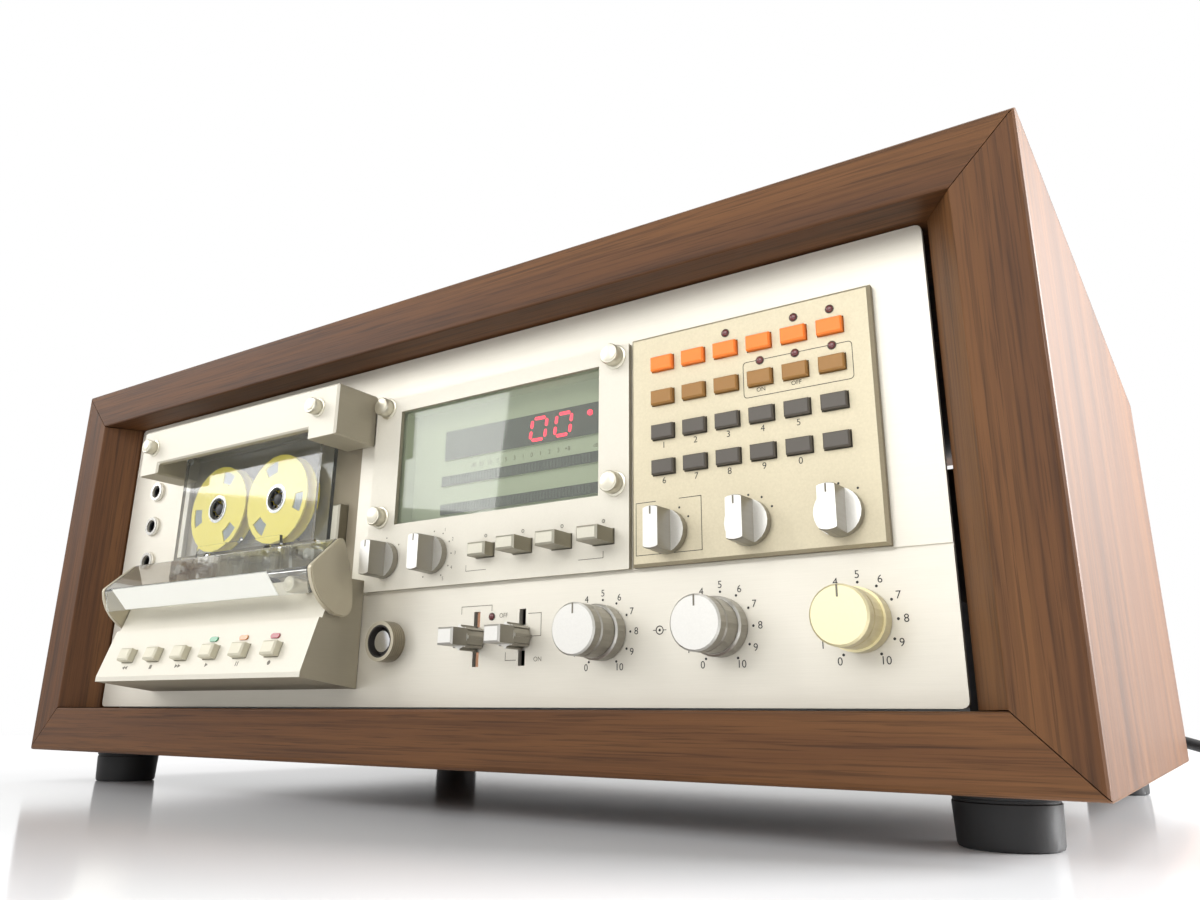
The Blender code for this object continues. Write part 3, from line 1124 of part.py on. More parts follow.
def make_program():
    left = PROGRAM_X
    right = PROGRAM_X + PROGRAM_WIDTH
    low = LOWER_STRIP + SEAT
    high = LOWER_STRIP + PLATE_HEIGHT
    half = ((right - left) / 2, (high - low) / 2)
    mesh = towers_mesh("program_panel", [((left + right) / 2, (low + high) / 2)],
                       capped(*half, SEAT, PROGRAM_FRONT, PROGRAM_CHAMFER))
    panel = place(mesh, "program_panel", PANEL)
    key_w = KEY_WIDTH / 2 + SEAT
    key_h = KEY_HEIGHT / 2 + SEAT
    mesh = boxes_mesh("key_holes", [(x - key_w, x + key_w, y - key_h, y + key_h, -OVERRUN, PROGRAM_FRONT + OVERRUN)
                                    for x, y in key_places(0, 2 * KEY_ROW_COUNT)])
    cut(panel, "key_holes", mesh)
    shafts = [(x, z, SHAFT_HOLE, -OVERRUN, PROGRAM_FRONT + OVERRUN) for name, x, z, face in SMALL_KNOBS
              if x > PROGRAM_X]
    cut(panel, "shaft_holes", rods_mesh("shaft_holes", shafts))
    paint(panel, "program_cream", PLATE_CREAM, 0.35, 0.3)
    for first, name, colour in ((0, "keypad_digits", BLACK), (KEY_ROW_COUNT, "keypad_functions", (0.8, 0.35, 0.08))):
        x0, x1, y0, y1 = keys_field(KEY_MAT_MARGIN - SEAT, first, KEY_ROW_COUNT)
        spot = [(x0, x1, y0, y1, -KEY_MAT, 0)]
        pad = place(boxes_mesh(name, spot), name, PANEL)
        sections = capped(KEY_WIDTH / 2, KEY_HEIGHT / 2, -KEY_MAT / 2, PROGRAM_FRONT + KEY_REACH, KEY_EDGE)
        fuse(pad, name + "_keys", towers_mesh("keys", key_places(first, KEY_ROW_COUNT), sections))
        paint(pad, name, colour, 0.5)


def make_lower_strip():
    bore = MUTE_COLLAR_RADIUS - MUTE_COLLAR_WALL - SEAT
    front = MUTE_COLLAR_REACH - MUTE_RECESS
    rear = -(2 * PANEL_THICKNESS + SEAT)
    flange = bore + MUTE_COLLAR_WALL
    profile = [(0, front), (bore - MUTE_RECESS, front), (bore, front - MUTE_RECESS), (bore, rear), (flange, rear),
               (flange, rear - PANEL_THICKNESS), (0, rear - PANEL_THICKNESS)]
    button = place(turned_mesh("rec_mute_button", profile), "rec_mute_button", PANEL, (MUTE_X, MUTE_Z, 0))
    paint(button, "chrome", CHROME, 0.2, 1.0, smooth=True)
    for x, name in zip(LEVER_PLACES, ("timer_lever", "filter_lever")):
        ribbed = toothed(LEVER_RADIUS * LEVER_RIB_SHARE, LEVER_RADIUS, LEVER_RIBS, LEVER_RADIUS / LEVER_RIBS, 1)
        lever = place(slab_mesh(name, [ribbed], SEAT, LEVER_BODY), name, PANEL, (x, LEVER_Z, 0))
        half = (LEVER_SLOT_WIDTH / 2 - SEAT, LEVER_TANG_HEIGHT / 2)
        grip = (LEVER_TIP_WIDTH / 2, LEVER_TIP_HEIGHT / 2)
        rear = -(PANEL_THICKNESS + SEAT)
        stop = (half[0] + LEVER_STOP, half[1] + LEVER_STOP)
        tang = [(*half, -SHAFT_LENGTH), (*half, rear - LEVER_STOP), (*stop, rear - LEVER_STOP), (*stop, rear),
                (*half, rear), (*half, LEVER_BODY / 2)]
        tip = capped(*grip, LEVER_BODY - SEAT, LEVER_BODY + LEVER_TIP, BUTTON_EDGE)
        fuse(lever, name + "_tang", towers_mesh("tang", [(0, 0)], tang))
        fuse(lever, name + "_tip", towers_mesh("tip", [(0, 0)], tip))
        paint(lever, "silver_knob", SILVER, 0.3, 0.9)
    edge = LEVEL_EDGE
    for x, name in zip(LEVEL_PLACES, ("mic", "line")):
        wall = [(INNER_SHAFT_RADIUS + SEAT, LEVEL_REAR), (LEVEL_RADIUS - edge, LEVEL_REAR),
                (LEVEL_RADIUS, LEVEL_REAR - edge), (LEVEL_RADIUS, SEAT), (SLEEVE_RADIUS, SEAT),
                (SLEEVE_RADIUS, -SHAFT_LENGTH), (INNER_SHAFT_RADIUS + SEAT, -SHAFT_LENGTH)]
        rear = place(turned_mesh(f"{name}_rear_knob", wall, 28), f"{name}_rear_knob", PANEL, (x, LEVEL_Z, 0))
        paint(rear, "silver_knob", SILVER, 0.3, 0.9, smooth=True)
        foot = LEVEL_REAR + SEAT
        shaft = [(INNER_SHAFT_RADIUS, foot), (INNER_SHAFT_RADIUS, -SHAFT_LENGTH - SLEEVE_RADIUS),
                 (0, -SHAFT_LENGTH - SLEEVE_RADIUS)]
        front = place(turned_mesh(f"{name}_front_knob", level_face(foot) + shaft, 28), f"{name}_front_knob",
                      PANEL, (x, LEVEL_Z, 0))
        paint(front, "silver_knob", SILVER, 0.25, 0.9, smooth=True)
    skirt = [(LEVEL_RADIUS, LEVEL_REAR), (LEVEL_RADIUS, SEAT), (SLEEVE_RADIUS, SEAT),
             (SLEEVE_RADIUS, -SHAFT_LENGTH), (0, -SHAFT_LENGTH)]
    knob = place(turned_mesh("output_knob", level_face(LEVEL_REAR) + skirt, 28), "output_knob", PANEL,
                 (LEVEL_PLACES[2], LEVEL_Z, 0))
    paint(knob, "cream_knob", CREAM, 0.3, 0.6, smooth=True)


def level_face(foot):
    """The front of a level knob from its middle outwards and down its grooved side."""
    radius = LEVEL_FRONT_RADIUS
    top = LEVEL_HEIGHT
    groove = top - (top - foot) / 3
    return [(0, top), (radius - LEVEL_EDGE, top), (radius, top - LEVEL_EDGE), (radius, groove),
            (radius - LEVEL_GROOVE, groove - LEVEL_EDGE), (radius, groove - 2 * LEVEL_EDGE), (radius, foot)]


def make_tray():
    left = -CABINET_WIDTH / 2 + WALL + SIDE_LIP + TRAY_SIDE_GAP
    low = FOOT_HEIGHT + WALL + SEAT
    high = FOOT_HEIGHT + CABINET_HEIGHT - WALL - TRAY_TOP_GAP
    front = PANEL_FRONT_Y + PANEL_THICKNESS + TRAY_FRONT_GAP
    rear = CABINET_REAR_Y - TRAY_REAR_RECESS
    sheet = TRAY_SHEET
    mesh = boxes_mesh("chassis_tray", [(left, -left, front, rear, low, high)])
    tray = place(mesh, "chassis_tray")
    side = low + TRAY_SIDE_HEIGHT
    spans = [(left + sheet, -left - sheet, front + sheet, rear - sheet, low + sheet, high + OVERRUN)]
    cut(tray, "tray_hollow", boxes_mesh("tray_hollow", spans))
    spans = [(left - OVERRUN, -left + OVERRUN, front - OVERRUN, rear - sheet, side, high + OVERRUN)]
    cut(tray, "tray_sides", boxes_mesh("tray_sides", spans))
    spans = [(left + sheet, -left - sheet, front - OVERRUN, front + OVERRUN, low + 2 * TRAY_FRONT_GAP, side + OVERRUN)]
    cut(tray, "tray_front", boxes_mesh("tray_front", spans))
    sockets = [(PANEL_LEFT_X + PHONO_X + k * PHONO_PITCH, PANEL_FOOT_Z + PHONO_Z + row * PHONO_PITCH)
               for k in range(2) for row in range(2)]
    turn = (pi / 2, 0, 0)
    barrels = rods_mesh("phono_barrels", [(x, z, PHONO_RADIUS, -rear - PHONO_REACH, -rear + sheet / 2)
                                          for x, z in sockets])
    fuse(tray, "phono_barrels", barrels, rotation=turn)
    bores = [(x, z, PHONO_BORE, -rear - PHONO_REACH - OVERRUN, OVERRUN - rear) for x, z in sockets]
    bores.append((PANEL_LEFT_X + GLAND_X, PANEL_FOOT_Z + GLAND_Z, GLAND_RADIUS + SEAT, -rear - OVERRUN,
                  OVERRUN - rear))
    cut(tray, "rear_bores", rods_mesh("rear_bores", bores), rotation=turn)
    paint(tray, "steel", STEEL, 0.4, 1.0)
    flange = SEAT + GLAND_FLANGE_THICKNESS
    gland = [(0, GLAND_LENGTH), (GLAND_TIP_RADIUS, GLAND_LENGTH), (GLAND_RADIUS, flange), (GLAND_FLANGE, flange),
             (GLAND_FLANGE, SEAT), (GLAND_RADIUS, SEAT), (GLAND_RADIUS, -2 * sheet), (0, -2 * sheet)]
    relief = place(turned_mesh("strain_relief", gland, 16), "strain_relief", None,
                   (PANEL_LEFT_X + GLAND_X, rear, PANEL_FOOT_Z + GLAND_Z), (-pi / 2, 0, 0))
    paint(relief, "black_rubber", BLACK, 0.7, smooth=True)


def make_transformer():
    low = FOOT_HEIGHT + WALL + SEAT + TRAY_SHEET + SEAT
    x = PANEL_LEFT_X + TRANSFORMER_X
    y = CABINET_FRONT_Y + TRANSFORMER_Y
    half = TRANSFORMER_WIDTH / 2
    stack = TRANSFORMER_STACK / 2
    core = boxes_mesh("power_transformer", [(x - half, x + half, y - stack, y + stack, low,
                                             low + TRANSFORMER_HEIGHT)])
    trafo = place(core, "power_transformer")
    winding = TRANSFORMER_WINDING / 2
    deep = TRANSFORMER_DEPTH / 2
    middle = low + TRANSFORMER_HEIGHT / 2
    spans = [(x - winding, x + winding, y - deep, y + deep, middle - winding, middle + winding)]
    coil = boxes_mesh("winding", spans)
    fuse(trafo, "winding", coil)
    feet = [(x - half - TRANSFORMER_FOOT, x + half + TRANSFORMER_FOOT, y - stack, y + stack, low,
             low + TRANSFORMER_FOOT_THICKNESS)]
    fuse(trafo, "mounting_feet", boxes_mesh("mounting_feet", feet))
    paint(trafo, "steel", STEEL, 0.4, 1.0)


def make_board():
    low = FOOT_HEIGHT + WALL + SEAT + TRAY_SHEET + SEAT
    x0 = PANEL_LEFT_X + BOARD_X
    y0 = CABINET_FRONT_Y + BOARD_Y
    x1 = x0 + BOARD_WIDTH
    y1 = y0 + BOARD_DEPTH
    under = low + BOARD_STANDOFF
    top = under + BOARD_THICKNESS
    board = place(boxes_mesh("main_board", [(x0, x1, y0, y1, under, top)]), "main_board")
    inset_by = BOARD_STANDOFF_INSET
    legs = [(x, y, BOARD_STANDOFF_RADIUS, low, under + SEAT) for x in (x0 + inset_by, x1 - inset_by)
            for y in (y0 + inset_by, y1 - inset_by)]
    cans = [(x1 - CAPACITOR_PITCH, y0 + CAPACITOR_PITCH * (k + 1), CAPACITOR_RADIUS, under + SEAT,
             top + CAPACITOR_HEIGHT) for k in range(3)]
    fuse(board, "legs_and_cans", rods_mesh("legs_and_cans", legs + cans))
    fin = HEAT_SINK_FIN
    sink_x = x0 + CAPACITOR_PITCH
    step = (HEAT_SINK_WIDTH - fin) / (HEAT_SINK_FINS - 1)
    sink_y = y1 - HEAT_SINK_DEPTH - BOARD_STANDOFF
    plate = [(sink_x, sink_x + HEAT_SINK_WIDTH, sink_y, sink_y + fin, under + SEAT, top + HEAT_SINK_HEIGHT)]
    fuse(board, "heat_sink_plate", boxes_mesh("heat_sink_plate", plate))
    fins = [(sink_x + k * step, sink_x + k * step + fin, sink_y + fin / 2, sink_y + HEAT_SINK_DEPTH,
             under + SEAT, top + HEAT_SINK_HEIGHT - fin) for k in range(HEAT_SINK_FINS)]
    fuse(board, "heat_sink_fins", boxes_mesh("heat_sink_fins", fins))
    paint(board, "circuit_board", CIRCUIT, 0.5)


# The free stretch of the cord, from the gland's tip down to the floor, chosen by hand
CORD_ROUTE = [
    (0.1620, 0.1821, 0.0805), (0.1620, 0.1980, 0.0802), (0.1633, 0.2125, 0.0765), (0.1680, 0.2245, 0.0680),
    (0.1770, 0.2320, 0.0575), (0.1900, 0.2330, 0.0460), (0.2050, 0.2270, 0.0355), (0.2210, 0.2165, 0.0280),
    (0.2380, 0.2045, 0.0229), (0.2540, 0.1950, 0.0183), (0.2700, 0.1875, 0.0120), (0.2840, 0.1832, 0.0066),
    (0.2970, 0.1810, 0.0038), (0.3100, 0.1805, 0.0032)]
CORD_FLOOR = 0.0032
PLUG_AXIS_Z = 0.0132


def smooth_route(points, count):
    """Read a smooth curve through the points at even steps along it."""
    knots = [Vector(point) for point in points]
    ends = [2 * knots[0] - knots[1]] + knots + [2 * knots[-1] - knots[-2]]
    fine = []
    for a, b, c, d in zip(ends, ends[1:], ends[2:], ends[3:]):
        for step in range(12):
            t = step / 12
            fine.append(0.5 * (2 * b + (c - a) * t + (2 * a - 5 * b + 4 * c - d) * t ** 2
                               + (3 * b - a - 3 * c + d) * t ** 3))
    fine.append(knots[-1])
    lengths = [0.0]
    for first, second in zip(fine, fine[1:]):
        lengths.append(lengths[-1] + (second - first).length)
    read = []
    for index in range(count):
        want = lengths[-1] * index / (count - 1)
        k = next((i for i in range(1, len(fine)) if lengths[i] >= want), len(fine) - 1)
        span = lengths[k] - lengths[k - 1]
        read.append(fine[k - 1].lerp(fine[k], (want - lengths[k - 1]) / span if span else 0))
    return read, lengths[-1]


def tube(name, points, radius, resolution):
    curve = bpy.data.curves.new(name, "CURVE")
    curve.dimensions = "3D"
    curve.bevel_depth = radius
    curve.bevel_resolution = resolution
    curve.use_fill_caps = True
    spline = curve.splines.new("POLY")
    spline.points.add(len(points) - 1)
    for point, place_at in zip(spline.points, points):
        point.co = (*place_at, 1)
    obj = bpy.data.objects.new(name, curve)
    PARTS.objects.link(obj)
    obj.data.materials.append(material("black_cord", BLACK, 0.5))
    return obj


def coil_points():
    """A spiral inwards on the floor, a climb of one layer where it turns back, and out again on top."""
    start = Vector(CORD_ROUTE[-1]) + Vector((SEAT, 0, 0))
    reach = COIL_MEAN_RADIUS + COIL_PITCH * COIL_TURNS_PER_LAYER / 2
    middle = start + Vector((2 * CORD_RADIUS, reach, 0))
    turns = 2 * COIL_TURNS_PER_LAYER
    steps = round(turns * COIL_POINTS)
    points = [start, start + Vector((2 * CORD_RADIUS, 0, 0))]
    for step in range(1, steps + 1):
        turn = turns * step / steps
        away = abs(turn - COIL_TURNS_PER_LAYER)
        radius = COIL_MEAN_RADIUS + COIL_PITCH * (away - COIL_TURNS_PER_LAYER / 2)
        climb = min(max(turn - COIL_TURNS_PER_LAYER + 0.25, 0), 0.5) / 0.5
        rise = (1 - cos(pi * climb)) / 2
        last = min(max(turn - turns + 0.25, 0), 0.25) / 0.25
        lift = (PLUG_AXIS_Z - CORD_FLOOR - COIL_PITCH) * (1 - cos(pi * last)) / 2
        angle = tau * turn - pi / 2
        points.append(middle + Vector((radius * cos(angle), radius * sin(angle), COIL_PITCH * rise + lift)))
    along = points[-1] - points[-2]
    along = Vector((along.x, along.y, 0)).normalized()
    points.append(points[-1] + along * 2 * CORD_RADIUS)
    return points, along


def least_self_gap(points):
    far = COIL_POINTS // 2
    least = min((a - b).length for i, a in enumerate(points) for b in points[i + far:])
    return least - 2 * CORD_RADIUS


def make_cord():
    route, free = smooth_route(CORD_ROUTE, CORD_POINTS)
    tube("mains_cord", route, CORD_RADIUS, 2)
    points, along = coil_points()
    wound = sum((b - a).length for a, b in zip(points, points[1:]))
    tube("cord_coil", points, CORD_RADIUS, 1)
    print(f"cord: free {free:.3f} m, coil {wound:.3f} m, least gap {least_self_gap(points) * 1000:.2f} mm")
    neck = PLUG_NECK_RADIUS
    body = [(0, SEAT), (neck, SEAT), (neck, PLUG_LENGTH / 3), (PLUG_RADIUS, PLUG_LENGTH / 2),
            (PLUG_RADIUS, PLUG_LENGTH), (0, PLUG_LENGTH)]
    turn = Vector((0, 0, 1)).rotation_difference(along).to_euler()
    plug = place(turned_mesh("mains_plug", body, 20), "mains_plug", None, points[-1], turn)
    side = PLUG_PIN_SPACING / 2
    pins = [(-sign * side * along.y, sign * side * along.x, PLUG_PIN_RADIUS, PLUG_LENGTH - SEAT,
             PLUG_LENGTH + PLUG_PIN_LENGTH) for sign in (-1, 1)]
    fuse(plug, "plug_pins", rods_mesh("plug_pins", pins, 12))
    paint(plug, "black_rubber", BLACK, 0.6)


def main():
    make_cabinet()
    make_feet()
    make_front_panel()
    make_bridge()
    make_housing()
    make_buttons()
    make_head_cover()
    make_transport_chassis()
    make_drive()
    make_heads()
    make_cassette()
    make_display()
    for knob in SMALL_KNOBS:
        make_bar_knob(*knob)
    make_selectors()
    make_program()
    make_lower_strip()
    make_tray()
    make_transformer()
    make_board()
    make_cord()


main()
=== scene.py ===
"""Looks of the cassette deck: camera, light, materials, printed scales and the finer pieces.

Metres, +Z up, the front faces -Y. Pieces on the front are laid out in the front panel's own frame:
x runs right from its left edge, y runs up from its lower edge and z runs forward from its face.
Sizes in that frame are written in millimetres and multiplied by MM.
"""
from math import cos, pi, radians, sin, tau

import bmesh
import bpy
from mathutils import Matrix, Vector


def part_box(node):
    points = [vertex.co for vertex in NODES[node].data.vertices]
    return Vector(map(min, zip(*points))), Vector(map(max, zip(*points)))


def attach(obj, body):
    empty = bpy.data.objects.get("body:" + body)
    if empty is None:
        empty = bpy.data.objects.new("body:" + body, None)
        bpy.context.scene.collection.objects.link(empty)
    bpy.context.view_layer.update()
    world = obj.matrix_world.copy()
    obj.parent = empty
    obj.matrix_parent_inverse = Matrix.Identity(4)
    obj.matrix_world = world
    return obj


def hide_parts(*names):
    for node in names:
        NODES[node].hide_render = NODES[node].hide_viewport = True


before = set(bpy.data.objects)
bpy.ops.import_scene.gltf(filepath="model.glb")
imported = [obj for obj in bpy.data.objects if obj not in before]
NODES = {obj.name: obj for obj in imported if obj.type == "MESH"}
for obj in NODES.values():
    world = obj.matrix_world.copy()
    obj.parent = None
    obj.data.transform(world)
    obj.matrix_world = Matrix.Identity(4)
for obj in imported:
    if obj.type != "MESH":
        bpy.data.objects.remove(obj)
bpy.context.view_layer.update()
MM = 0.001

# The front panel's frame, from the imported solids
PANEL_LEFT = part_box("front_panel")[0].x
PANEL_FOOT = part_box("front_panel")[0].z
PANEL_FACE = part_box("display_window")[0].y
PANEL = Matrix.Translation((PANEL_LEFT, PANEL_FACE, PANEL_FOOT)) @ Matrix.Rotation(pi / 2, 4, "X")

# The button plate's frame leans back from the housing's lip
BUTTON_TILT = radians(18.1)
BUTTON_PLATE_PLACE = Vector((42.0, 12.5, 28.8)) * MM
BUTTON_PLATE = PANEL @ Matrix.Translation(BUTTON_PLATE_PLACE) @ Matrix.Rotation(-BUTTON_TILT, 4, "X")

# Camera, solved from the edges of the panel, the cabinet and the feet in the photograph
CAMERA_PLACE = (0.2696, -0.4077, 0.0322)
CAMERA_YAW = radians(33.91)
CAMERA_PITCH = radians(17.02)
CAMERA_ROLL = radians(0.57)
CAMERA_LENS = 28.235
SENSOR = 36.0
CAMERA_SHIFT_X = 0.0043
CAMERA_SHIFT_Y = -0.0166
CAMERA_CLIP_START = 0.01

# Soft studio lamps as name: (place, aim, width, height, watts)
LAMPS = {"key_light": ((0.15, -1.7, 0.9), (0.05, -0.1, 0.1), 1.6, 1.0, 14),
         "left_light": ((-1.3, -1.1, 0.9), (-0.1, -0.1, 0.1), 0.9, 0.9, 9),
         "side_light": ((1.5, 0.75, 0.55), (0.24, 0.02, 0.1), 0.9, 0.7, 85),
         "top_light": ((0.0, 0.4, 1.9), (0, 0, 0.1), 1.8, 1.8, 16)}
WORLD_SHOWN = 1.0
WORLD_LIT = 0.46

# Half the floor's side, and the distances from its middle between which it turns into the white backdrop
FLOOR_HALF = 4.0
FLOOR_FADE = (0.7, 1.6)

# Mains cord: its route is the one in part.py
CORD_RADIUS = 0.0030
CORD_POINTS = 22
CORD_FLOOR = 0.0032
COIL_MEAN_RADIUS = 0.0360
COIL_PITCH = 0.0066
COIL_TURNS_PER_LAYER = 3.5
COIL_POINTS = 24
COIL_CLIMB_TURN = 0.25
ROUTE_STEPS = 12
CORD_GAP = 0.0003
PLUG_AXIS_Z = 0.0132
CORD_ROUTE = [
    (0.1620, 0.1821, 0.0805), (0.1620, 0.1980, 0.0802), (0.1633, 0.2125, 0.0765), (0.1680, 0.2245, 0.0680),
    (0.1770, 0.2320, 0.0575), (0.1900, 0.2330, 0.0460), (0.2050, 0.2270, 0.0355), (0.2210, 0.2165, 0.0280),
    (0.2380, 0.2045, 0.0229), (0.2540, 0.1950, 0.0183), (0.2700, 0.1875, 0.0120), (0.2840, 0.1832, 0.0066),
    (0.2970, 0.1810, 0.0038), (0.3100, 0.1805, 0.0032)]


def srgb(red, green, blue):
    """A screen colour, each share from 0 to 255, in linear light."""
    def linear(value):
        share = value / 255
        return share / 12.92 if share <= 0.04045 else ((share + 0.055) / 1.055) ** 2.4
    return (linear(red), linear(green), linear(blue), 1)


WALNUT_DARK = srgb(62, 36, 17)
WALNUT_MID = srgb(93, 59, 32)
WALNUT_LIGHT = srgb(115, 77, 43)
CHAMPAGNE = srgb(222, 217, 204)
CREAM_PLATE = srgb(219, 214, 200)
PROGRAM_GOLD = srgb(205, 195, 168)
# The side colours for the plate, program panel, silver knob and cream knob are painted shade: the darker
# tone of sides turned from the front
PLATE_PAINTED_SHADE = srgb(168, 160, 140)
PROGRAM_PAINTED_SHADE = srgb(128, 116, 90)
TAUPE = srgb(150, 140, 120)
SILVER = srgb(226, 224, 218)
SILVER_PAINTED_SHADE = srgb(148, 144, 134)
CREAM = srgb(240, 230, 188)
CREAM_PAINTED_SHADE = srgb(196, 184, 142)
KEY_IVORY = srgb(206, 200, 178)
INK = srgb(38, 36, 34)
RUBBER = srgb(20, 20, 21)
YELLOW = srgb(250, 232, 96)
ORANGE = srgb(255, 132, 44)
TAN = srgb(156, 112, 54)
KEY_DARK = srgb(84, 78, 70)
WHITE_FLOOR = srgb(243, 244, 246)
WHITE = (1, 1, 1, 1)
PORE = (0.25, 0.25, 0.25, 1)


class Shader:
    """A material with a Principled shader and short calls for the nodes in front of it."""

    def __init__(self, name, colour, roughness=0.5, metallic=0.0, **sockets):
        self.material = bpy.data.materials.new(name)
        self.material.use_nodes = True
        self.tree = self.material.node_tree
        self.surface = self.tree.nodes["Principled BSDF"]
        plain = {"Base Color": colour, "Roughness": roughness, "Metallic": metallic}
        self.set(self.surface, {**plain, **sockets})
        self.place = self.node("ShaderNodeTexCoord").outputs["Object"]
        self.material.diffuse_color = colour

    def set(self, node, values):
        """Link or write each value to the node's input of that name."""
        for name, value in values.items():
            if isinstance(value, bpy.types.NodeSocket):
                self.tree.links.new(value, node.inputs[name])
            else:
                node.inputs[name].default_value = value

    def node(self, kind, inputs=None, **fields):
        made = self.tree.nodes.new(kind)
        for name, value in fields.items():
            setattr(made, name, value)
        self.set(made, inputs or {})
        return made

    def stretched(self, scale):
        return self.node("ShaderNodeMapping", {"Vector": self.place, "Scale": scale}).outputs[0]

    def noise(self, vector, scale, detail=4.0, roughness=0.55):
        inputs = {"Vector": vector, "Scale": scale, "Detail": detail, "Roughness": roughness}
        return self.node("ShaderNodeTexNoise", inputs).outputs["Fac"]

    def ramp(self, fac, stops):
        made = self.node("ShaderNodeValToRGB", {"Fac": fac})
        ends = made.color_ramp.elements
        while len(ends) < len(stops):
            ends.new(0.5)
        for end, (position, colour) in zip(ends, stops):
            end.position = position
            end.color = colour
        return made.outputs["Color"]

    def mix(self, fac, first, second, blend="MIX"):
        made = self.node("ShaderNodeMix", data_type="RGBA", blend_type=blend)
        for index, value in ((0, fac), (6, first), (7, second)):
            if isinstance(value, bpy.types.NodeSocket):
                self.tree.links.new(value, made.inputs[index])
            else:
                made.inputs[index].default_value = value
        return made.outputs[2]

    def math(self, operation, first, second=0.0):
        return self.node("ShaderNodeMath", {0: first, 1: second}, operation=operation).outputs[0]

    def range(self, value, low, high):
        return self.node("ShaderNodeMapRange", {"Value": value, "To Min": low, "To Max": high}).outputs[0]

    def bump(self, height, distance, strength=1.0):
        inputs = {"Height": height, "Distance": distance, "Strength": strength}
        self.set(self.surface, {"Normal": self.node("ShaderNodeBump", inputs).outputs[0]})

    def blend(self, fac, other):
        """Mix the Principled shader with another one on the way to the output."""
        mixed = self.node("ShaderNodeMixShader", {0: fac, 1: self.surface.outputs[0], 2: other.outputs[0]})
        self.set(self.tree.nodes["Material Output"], {"Surface": mixed.outputs[0]})


def shade(colour, scale):
    """The same colour, darker."""
    return (colour[0] * scale, colour[1] * scale, colour[2] * scale, 1)


# How much each grain is drawn out along its axis, and the refraction of the clear plastic
FIGURE_STRETCH = 0.055
PORE_STRETCH = 0.018
BRUSH_STRETCH = 0.02
ACRYLIC_IOR = 1.49


def walnut(name, grain_axis):
    """Oiled walnut veneer: broad figure, fine streaks and open pores, all drawn out along one axis."""
    oil = {"Coat Weight": 0.04, "Coat Roughness": 0.4, "Specular IOR Level": 0.22}
    made = Shader(name, WALNUT_MID, 0.5, **oil)
    along = [1.0, 1.0, 1.0]
    along[grain_axis] = FIGURE_STRETCH
    fine = [1.0, 1.0, 1.0]
    fine[grain_axis] = PORE_STRETCH
    drift = made.noise(made.stretched(along), 26.0, 3.0)
    figure = made.noise(made.stretched(along), 110.0, 6.0, 0.66)
    streak = made.noise(made.stretched(fine), 520.0, 3.0, 0.6)
    pores = made.noise(made.stretched(fine), 1500.0, 2.0, 0.7)
    broad = made.mix(0.45, drift, figure)
    tone = made.ramp(broad, [(0.30, WALNUT_DARK), (0.48, WALNUT_MID), (0.70, WALNUT_LIGHT)])
    streaks = made.ramp(streak, [(0.36, shade(WALNUT_DARK, 0.62)), (0.52, WHITE), (0.66, WHITE)])
    tone = made.mix(0.3, tone, made.mix(1.0, tone, streaks, "MULTIPLY"))
    pit = made.ramp(pores, [(0.36, PORE), (0.46, WHITE)])
    tone = made.mix(0.45, tone, made.mix(1.0, tone, pit, "MULTIPLY"))
    made.set(made.surface, {"Base Color": tone, "Roughness": made.range(figure, 0.44, 0.6)})
    made.bump(made.mix(0.5, streak, pores), 0.0002, 0.45)
    return made.material


def brushed(name, colour, roughness, metallic, depth=0.00002):
    """Metal brushed along x, with slight drifts of tone."""
    made = Shader(name, colour, roughness, metallic)
    brush = made.noise(made.stretched((BRUSH_STRETCH, 1, 1)), 3200.0, 2.0, 0.7)
    cloud = made.noise(made.place, 14.0, 2.0)
    tone = made.mix(made.range(brush, 0.0, 0.22), colour, shade(colour, 0.72))
    tone = made.mix(made.range(cloud, 0.0, 0.16), tone, shade(colour, 0.82))
    gloss = made.range(brush, roughness - 0.07, roughness + 0.09)
    made.set(made.surface, {"Base Color": tone, "Roughness": gloss})
    made.bump(brush, depth, 0.5)
    return made.material


def satin(name, colour, roughness=0.45, metallic=0.0, scale=900.0, depth=0.00003, speckle=0.06, **sockets):
    """Paint, plastic or rubber with a fine moulded grain and a little wear in its gloss."""
    made = Shader(name, colour, roughness, metallic, **sockets)
    grain = made.noise(made.place, scale, 3.0, 0.6)
    cloud = made.noise(made.place, 45.0, 3.0)
    tone = made.mix(made.range(grain, 0.0, speckle), colour, shade(colour, 0.75))
    gloss = made.range(cloud, roughness - 0.06, roughness + 0.08)
    made.set(made.surface, {"Base Color": tone, "Roughness": gloss})
    made.bump(grain, depth, 0.4)
    return made.material


def glowing(name, colour, strength):
    """A lit lens with a slightly uneven gloss."""
    made = Shader(name, colour, 0.35, **{"Emission Color": colour, "Emission Strength": strength})
    cloud = made.noise(made.place, 300.0, 2.0)
    made.set(made.surface, {"Roughness": made.range(cloud, 0.3, 0.42)})
    return made.material


def clear(name, colour, roughness, weight):
    """Clear plastic with faint wiping marks in its gloss. Light passes it to what lies behind."""
    made = Shader(name, colour, roughness, **{"Transmission Weight": weight, "IOR": ACRYLIC_IOR})
    cloud = made.noise(made.place, 60.0, 4.0)
    made.set(made.surface, {"Roughness": made.range(cloud, roughness * 0.6, roughness * 1.8)})
    rays = made.node("ShaderNodeLightPath")
    passing = made.math("MAXIMUM", rays.outputs["Is Shadow Ray"], rays.outputs["Is Diffuse Ray"])
    made.blend(passing, made.node("ShaderNodeBsdfTransparent", {"Color": shade(colour, 0.98)}))
    return made.material


